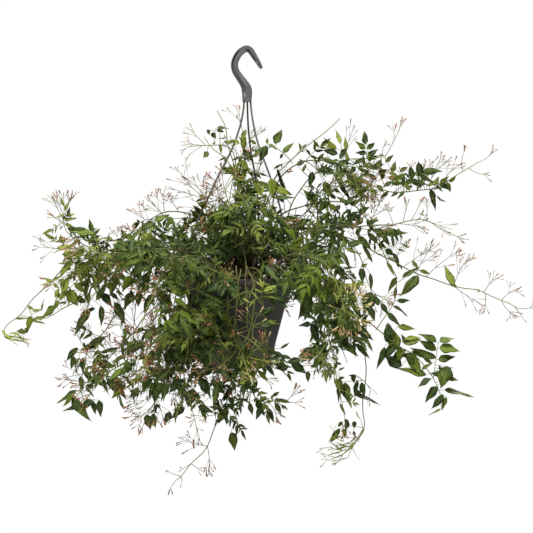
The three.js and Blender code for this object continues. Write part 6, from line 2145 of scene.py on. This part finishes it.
def nearest(seats: Array, x: Array, z: Array) -> Array:
    """The seats that come closest to places given by x and z in millimetres."""
    gap = np.hypot(seats[None, :, 0] - x[:, None] * MM, seats[None, :, 2] - z[:, None] * MM)
    return seats[np.argmin(gap, axis=1)]


def clear_of(points: Array) -> Array:
    """True for points outside every clearing, seen from the front, and not before the hollow."""
    x, z, rx, rz = np.vstack([CLEARINGS, HOLLOW]).T * MM
    inside = ((points[:, :1] - x) / rx) ** 2 + ((points[:, 2:3] - z) / rz) ** 2 < 1.0
    inside[:, -1] &= points[:, 1] < HOLLOW_BACK
    return ~inside.any(axis=1)


def inside_box(points: Array) -> Array:
    """True for points in the frame's own box, or less than BOX_MARGIN outside it."""
    low, high = (np.array(tuple(corner)) for corner in START_BOX)
    return ((points > low - BOX_MARGIN) & (points < high + BOX_MARGIN)).all(axis=1)


# Where painted shade darkens a leaf's tone, in millimetres: with height, away from the pot, over its
# rim.
PAINTED_SHADE_HEIGHTS = (-560.0, -330.0)
PAINTED_SHADE_RADII = (105.0, 180.0)
PAINTED_SHADE_OVER_RIM = (-330.0, -275.0)


def tone_and_painted_shade(points: Array, chance: Array) -> Array:
    """A leaf's tone from 0 to 1: its own chance, the patch it hangs in and its height.

    Each patch is a product of slow waves along the axes, 60 to 200 mm long. Leaves that hang low
    or close to the pot, below a little over its rim, are painted darker: painted shade.
    """
    x, y, z = (points / MM).T
    patch = 0.5 + 0.5 * np.sin(x / 21 + 1.4 * np.sin(z / 27)) * np.cos(z / 19 + y / 33)
    # Painted shade: high, out and apart darken the tone of leaves low down and close to the pot.
    high = smooth(z, *PAINTED_SHADE_HEIGHTS)
    out = smooth(np.hypot(x - POT_X / MM, y), *PAINTED_SHADE_RADII)
    apart = np.maximum(out, smooth(z, *PAINTED_SHADE_OVER_RIM))
    tone = (0.5 * chance + 0.5 * patch) * (0.55 + 0.45 * high) * (0.4 + 0.6 * apart)
    return np.clip(tone, 0.0, 1.0)


def outside_pot(points: Array) -> Array:
    """True for points that are clear of the pot, its rim and the soil."""
    above, below, rim_depth = 4 * MM, 3 * MM, 10 * MM
    outward, inward = 2 * MM, 12 * MM
    soil_radius, soil_top = 84 * MM, -370 * MM
    r = np.hypot(points[:, 0] - POT_X, points[:, 1])
    z = points[:, 2]
    beside = (z < POT.rim_z + above) & (z > POT.base_z - below)
    wall = np.where(z > POT.rim_z - rim_depth, POT.rim_radius, POT.radius(z))
    inside_soil = (r < soil_radius) & (z < soil_top) & (z > POT.base_z)
    near_wall = beside & (r < wall + outward) & (r > wall - inward)
    return ~(inside_soil | near_wall)


def wander(count: int, step: float, rng: np.random.Generator) -> Array:
    """A slow sideways sway at equal steps along a line: sums of sines that start at nothing."""
    s = np.arange(count)[:, None] * step
    phase = rng.uniform(0, 6.28, (2, 3))
    sway = np.sin(s / 26 + phase[0]) + 0.6 * np.sin(s / 11 + phase[1])
    return sway * smooth(s, 0, 60)


# ------------------------------------------------------------------ studio
@dataclass(frozen=True)
class Lamp:
    """A square area light: its place, its side and its power in watts."""

    name: str
    place: tuple[float, float, float]
    size: float
    power: float


@dataclass
class Studio:
    """White surroundings, soft lights on all sides, a pale floor and a level camera."""

    distance: float = 3.0
    aim: tuple[float, float] = (0.0328, -0.3432)
    lens: float = 126.6
    sensor: float = 36.0
    ambient: float = 0.09
    floor_z: float = -1.25
    floor_radius: float = 2.0
    floor_colour: Colour = (0.86, 0.86, 0.85)
    lit_z: float = -0.35  # what the lights face on the upright axis
    lamps: tuple[Lamp, ...] = (
        Lamp("top_soft", (-0.2, -0.9, 2.3), 1.2, 104.0),
        Lamp("key", (-1.1, -2.1, 2.1), 0.8, 92.0),
        Lamp("fill", (2.3, -2.0, 0.9), 1.6, 14.0),
        Lamp("back_soft", (0.5, 2.5, 1.5), 1.6, 75.0),
    )

    def world(self) -> None:
        """A world that looks white to the camera and gives only a soft light."""
        world = bpy.data.worlds.new("white_room")
        world.use_nodes = True
        tree = world.node_tree
        seen = tree.nodes.new("ShaderNodeLightPath").outputs["Is Camera Ray"]
        level = tree.nodes.new("ShaderNodeMapRange")
        level.inputs["To Min"].default_value = self.ambient
        tree.links.new(seen, level.inputs["Value"])
        back = tree.nodes["Background"]
        back.inputs["Color"].default_value = (1.0, 1.0, 1.0, 1.0)
        tree.links.new(level.outputs["Result"], back.inputs["Strength"])
        bpy.context.scene.world = world
        bpy.context.scene.view_settings.view_transform = "Standard"

    def light(self, lamp: Lamp) -> None:
        """A light that faces the plant."""
        data = bpy.data.lights.new(lamp.name, "AREA")
        data.size = lamp.size
        data.energy = lamp.power
        piece = bpy.data.objects.new(lamp.name, data)
        piece.location = lamp.place
        direction = Vector((0.0, 0.0, self.lit_z)) - piece.location
        piece.rotation_mode = "QUATERNION"
        piece.rotation_quaternion = direction.to_track_quat("-Z", "Y")
        bpy.context.scene.collection.objects.link(piece)

    def floor(self) -> None:
        """A round pale floor."""
        corners = 64
        angle = np.arange(corners) * 2 * math.pi / corners
        rim = np.stack([self.floor_radius * np.cos(angle), self.floor_radius * np.sin(angle),
                        np.full(corners, self.floor_z)], 1)
        mesh = bpy.data.meshes.new("studio_floor")
        mesh.from_pydata(rim.tolist(), [], [tuple(range(corners))])
        n = Nodes("pale_floor")
        mesh.materials.append(n.shade(Base_Color=self.floor_colour, Roughness=0.8))
        floor = bpy.data.objects.new("studio_floor", mesh)
        bpy.context.scene.collection.objects.link(floor)
        floor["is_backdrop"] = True

    def camera(self) -> None:
        """A level camera that looks along +Y."""
        data = bpy.data.cameras.new("camera")
        data.lens = self.lens
        data.sensor_width = self.sensor
        data.clip_end = 50.0
        camera = bpy.data.objects.new("camera", data)
        camera.location = (self.aim[0], -self.distance, self.aim[1])
        camera.rotation_euler = (math.radians(90), 0.0, 0.0)
        bpy.context.scene.collection.objects.link(camera)
        bpy.context.scene.camera = camera

    def build(self) -> None:
        """Makes the world, the lights, the floor and the camera."""
        self.world()
        for lamp in self.lamps:
            self.light(lamp)
        self.floor()
        self.camera()


def main() -> None:
    """Builds the studio, the pot, the soil, the hanger and the plant in order."""
    logging.basicConfig(level=logging.INFO, format="%(name)s: %(message)s")
    Studio().build()
    Pot().build(PotFinish().material())
    Soil().build(SoilFinish().material())
    Hanger().build(HangerFinish().material())
    Foliage(LeafFinish().material(), StemFinish().material(), BudFinish().material()).build()
    boxes = {"cad": START_BOX, "visual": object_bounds()}
    {key: [list(corner) for corner in box] for key, box in boxes.items()}


if __name__ == "__main__":
    main()
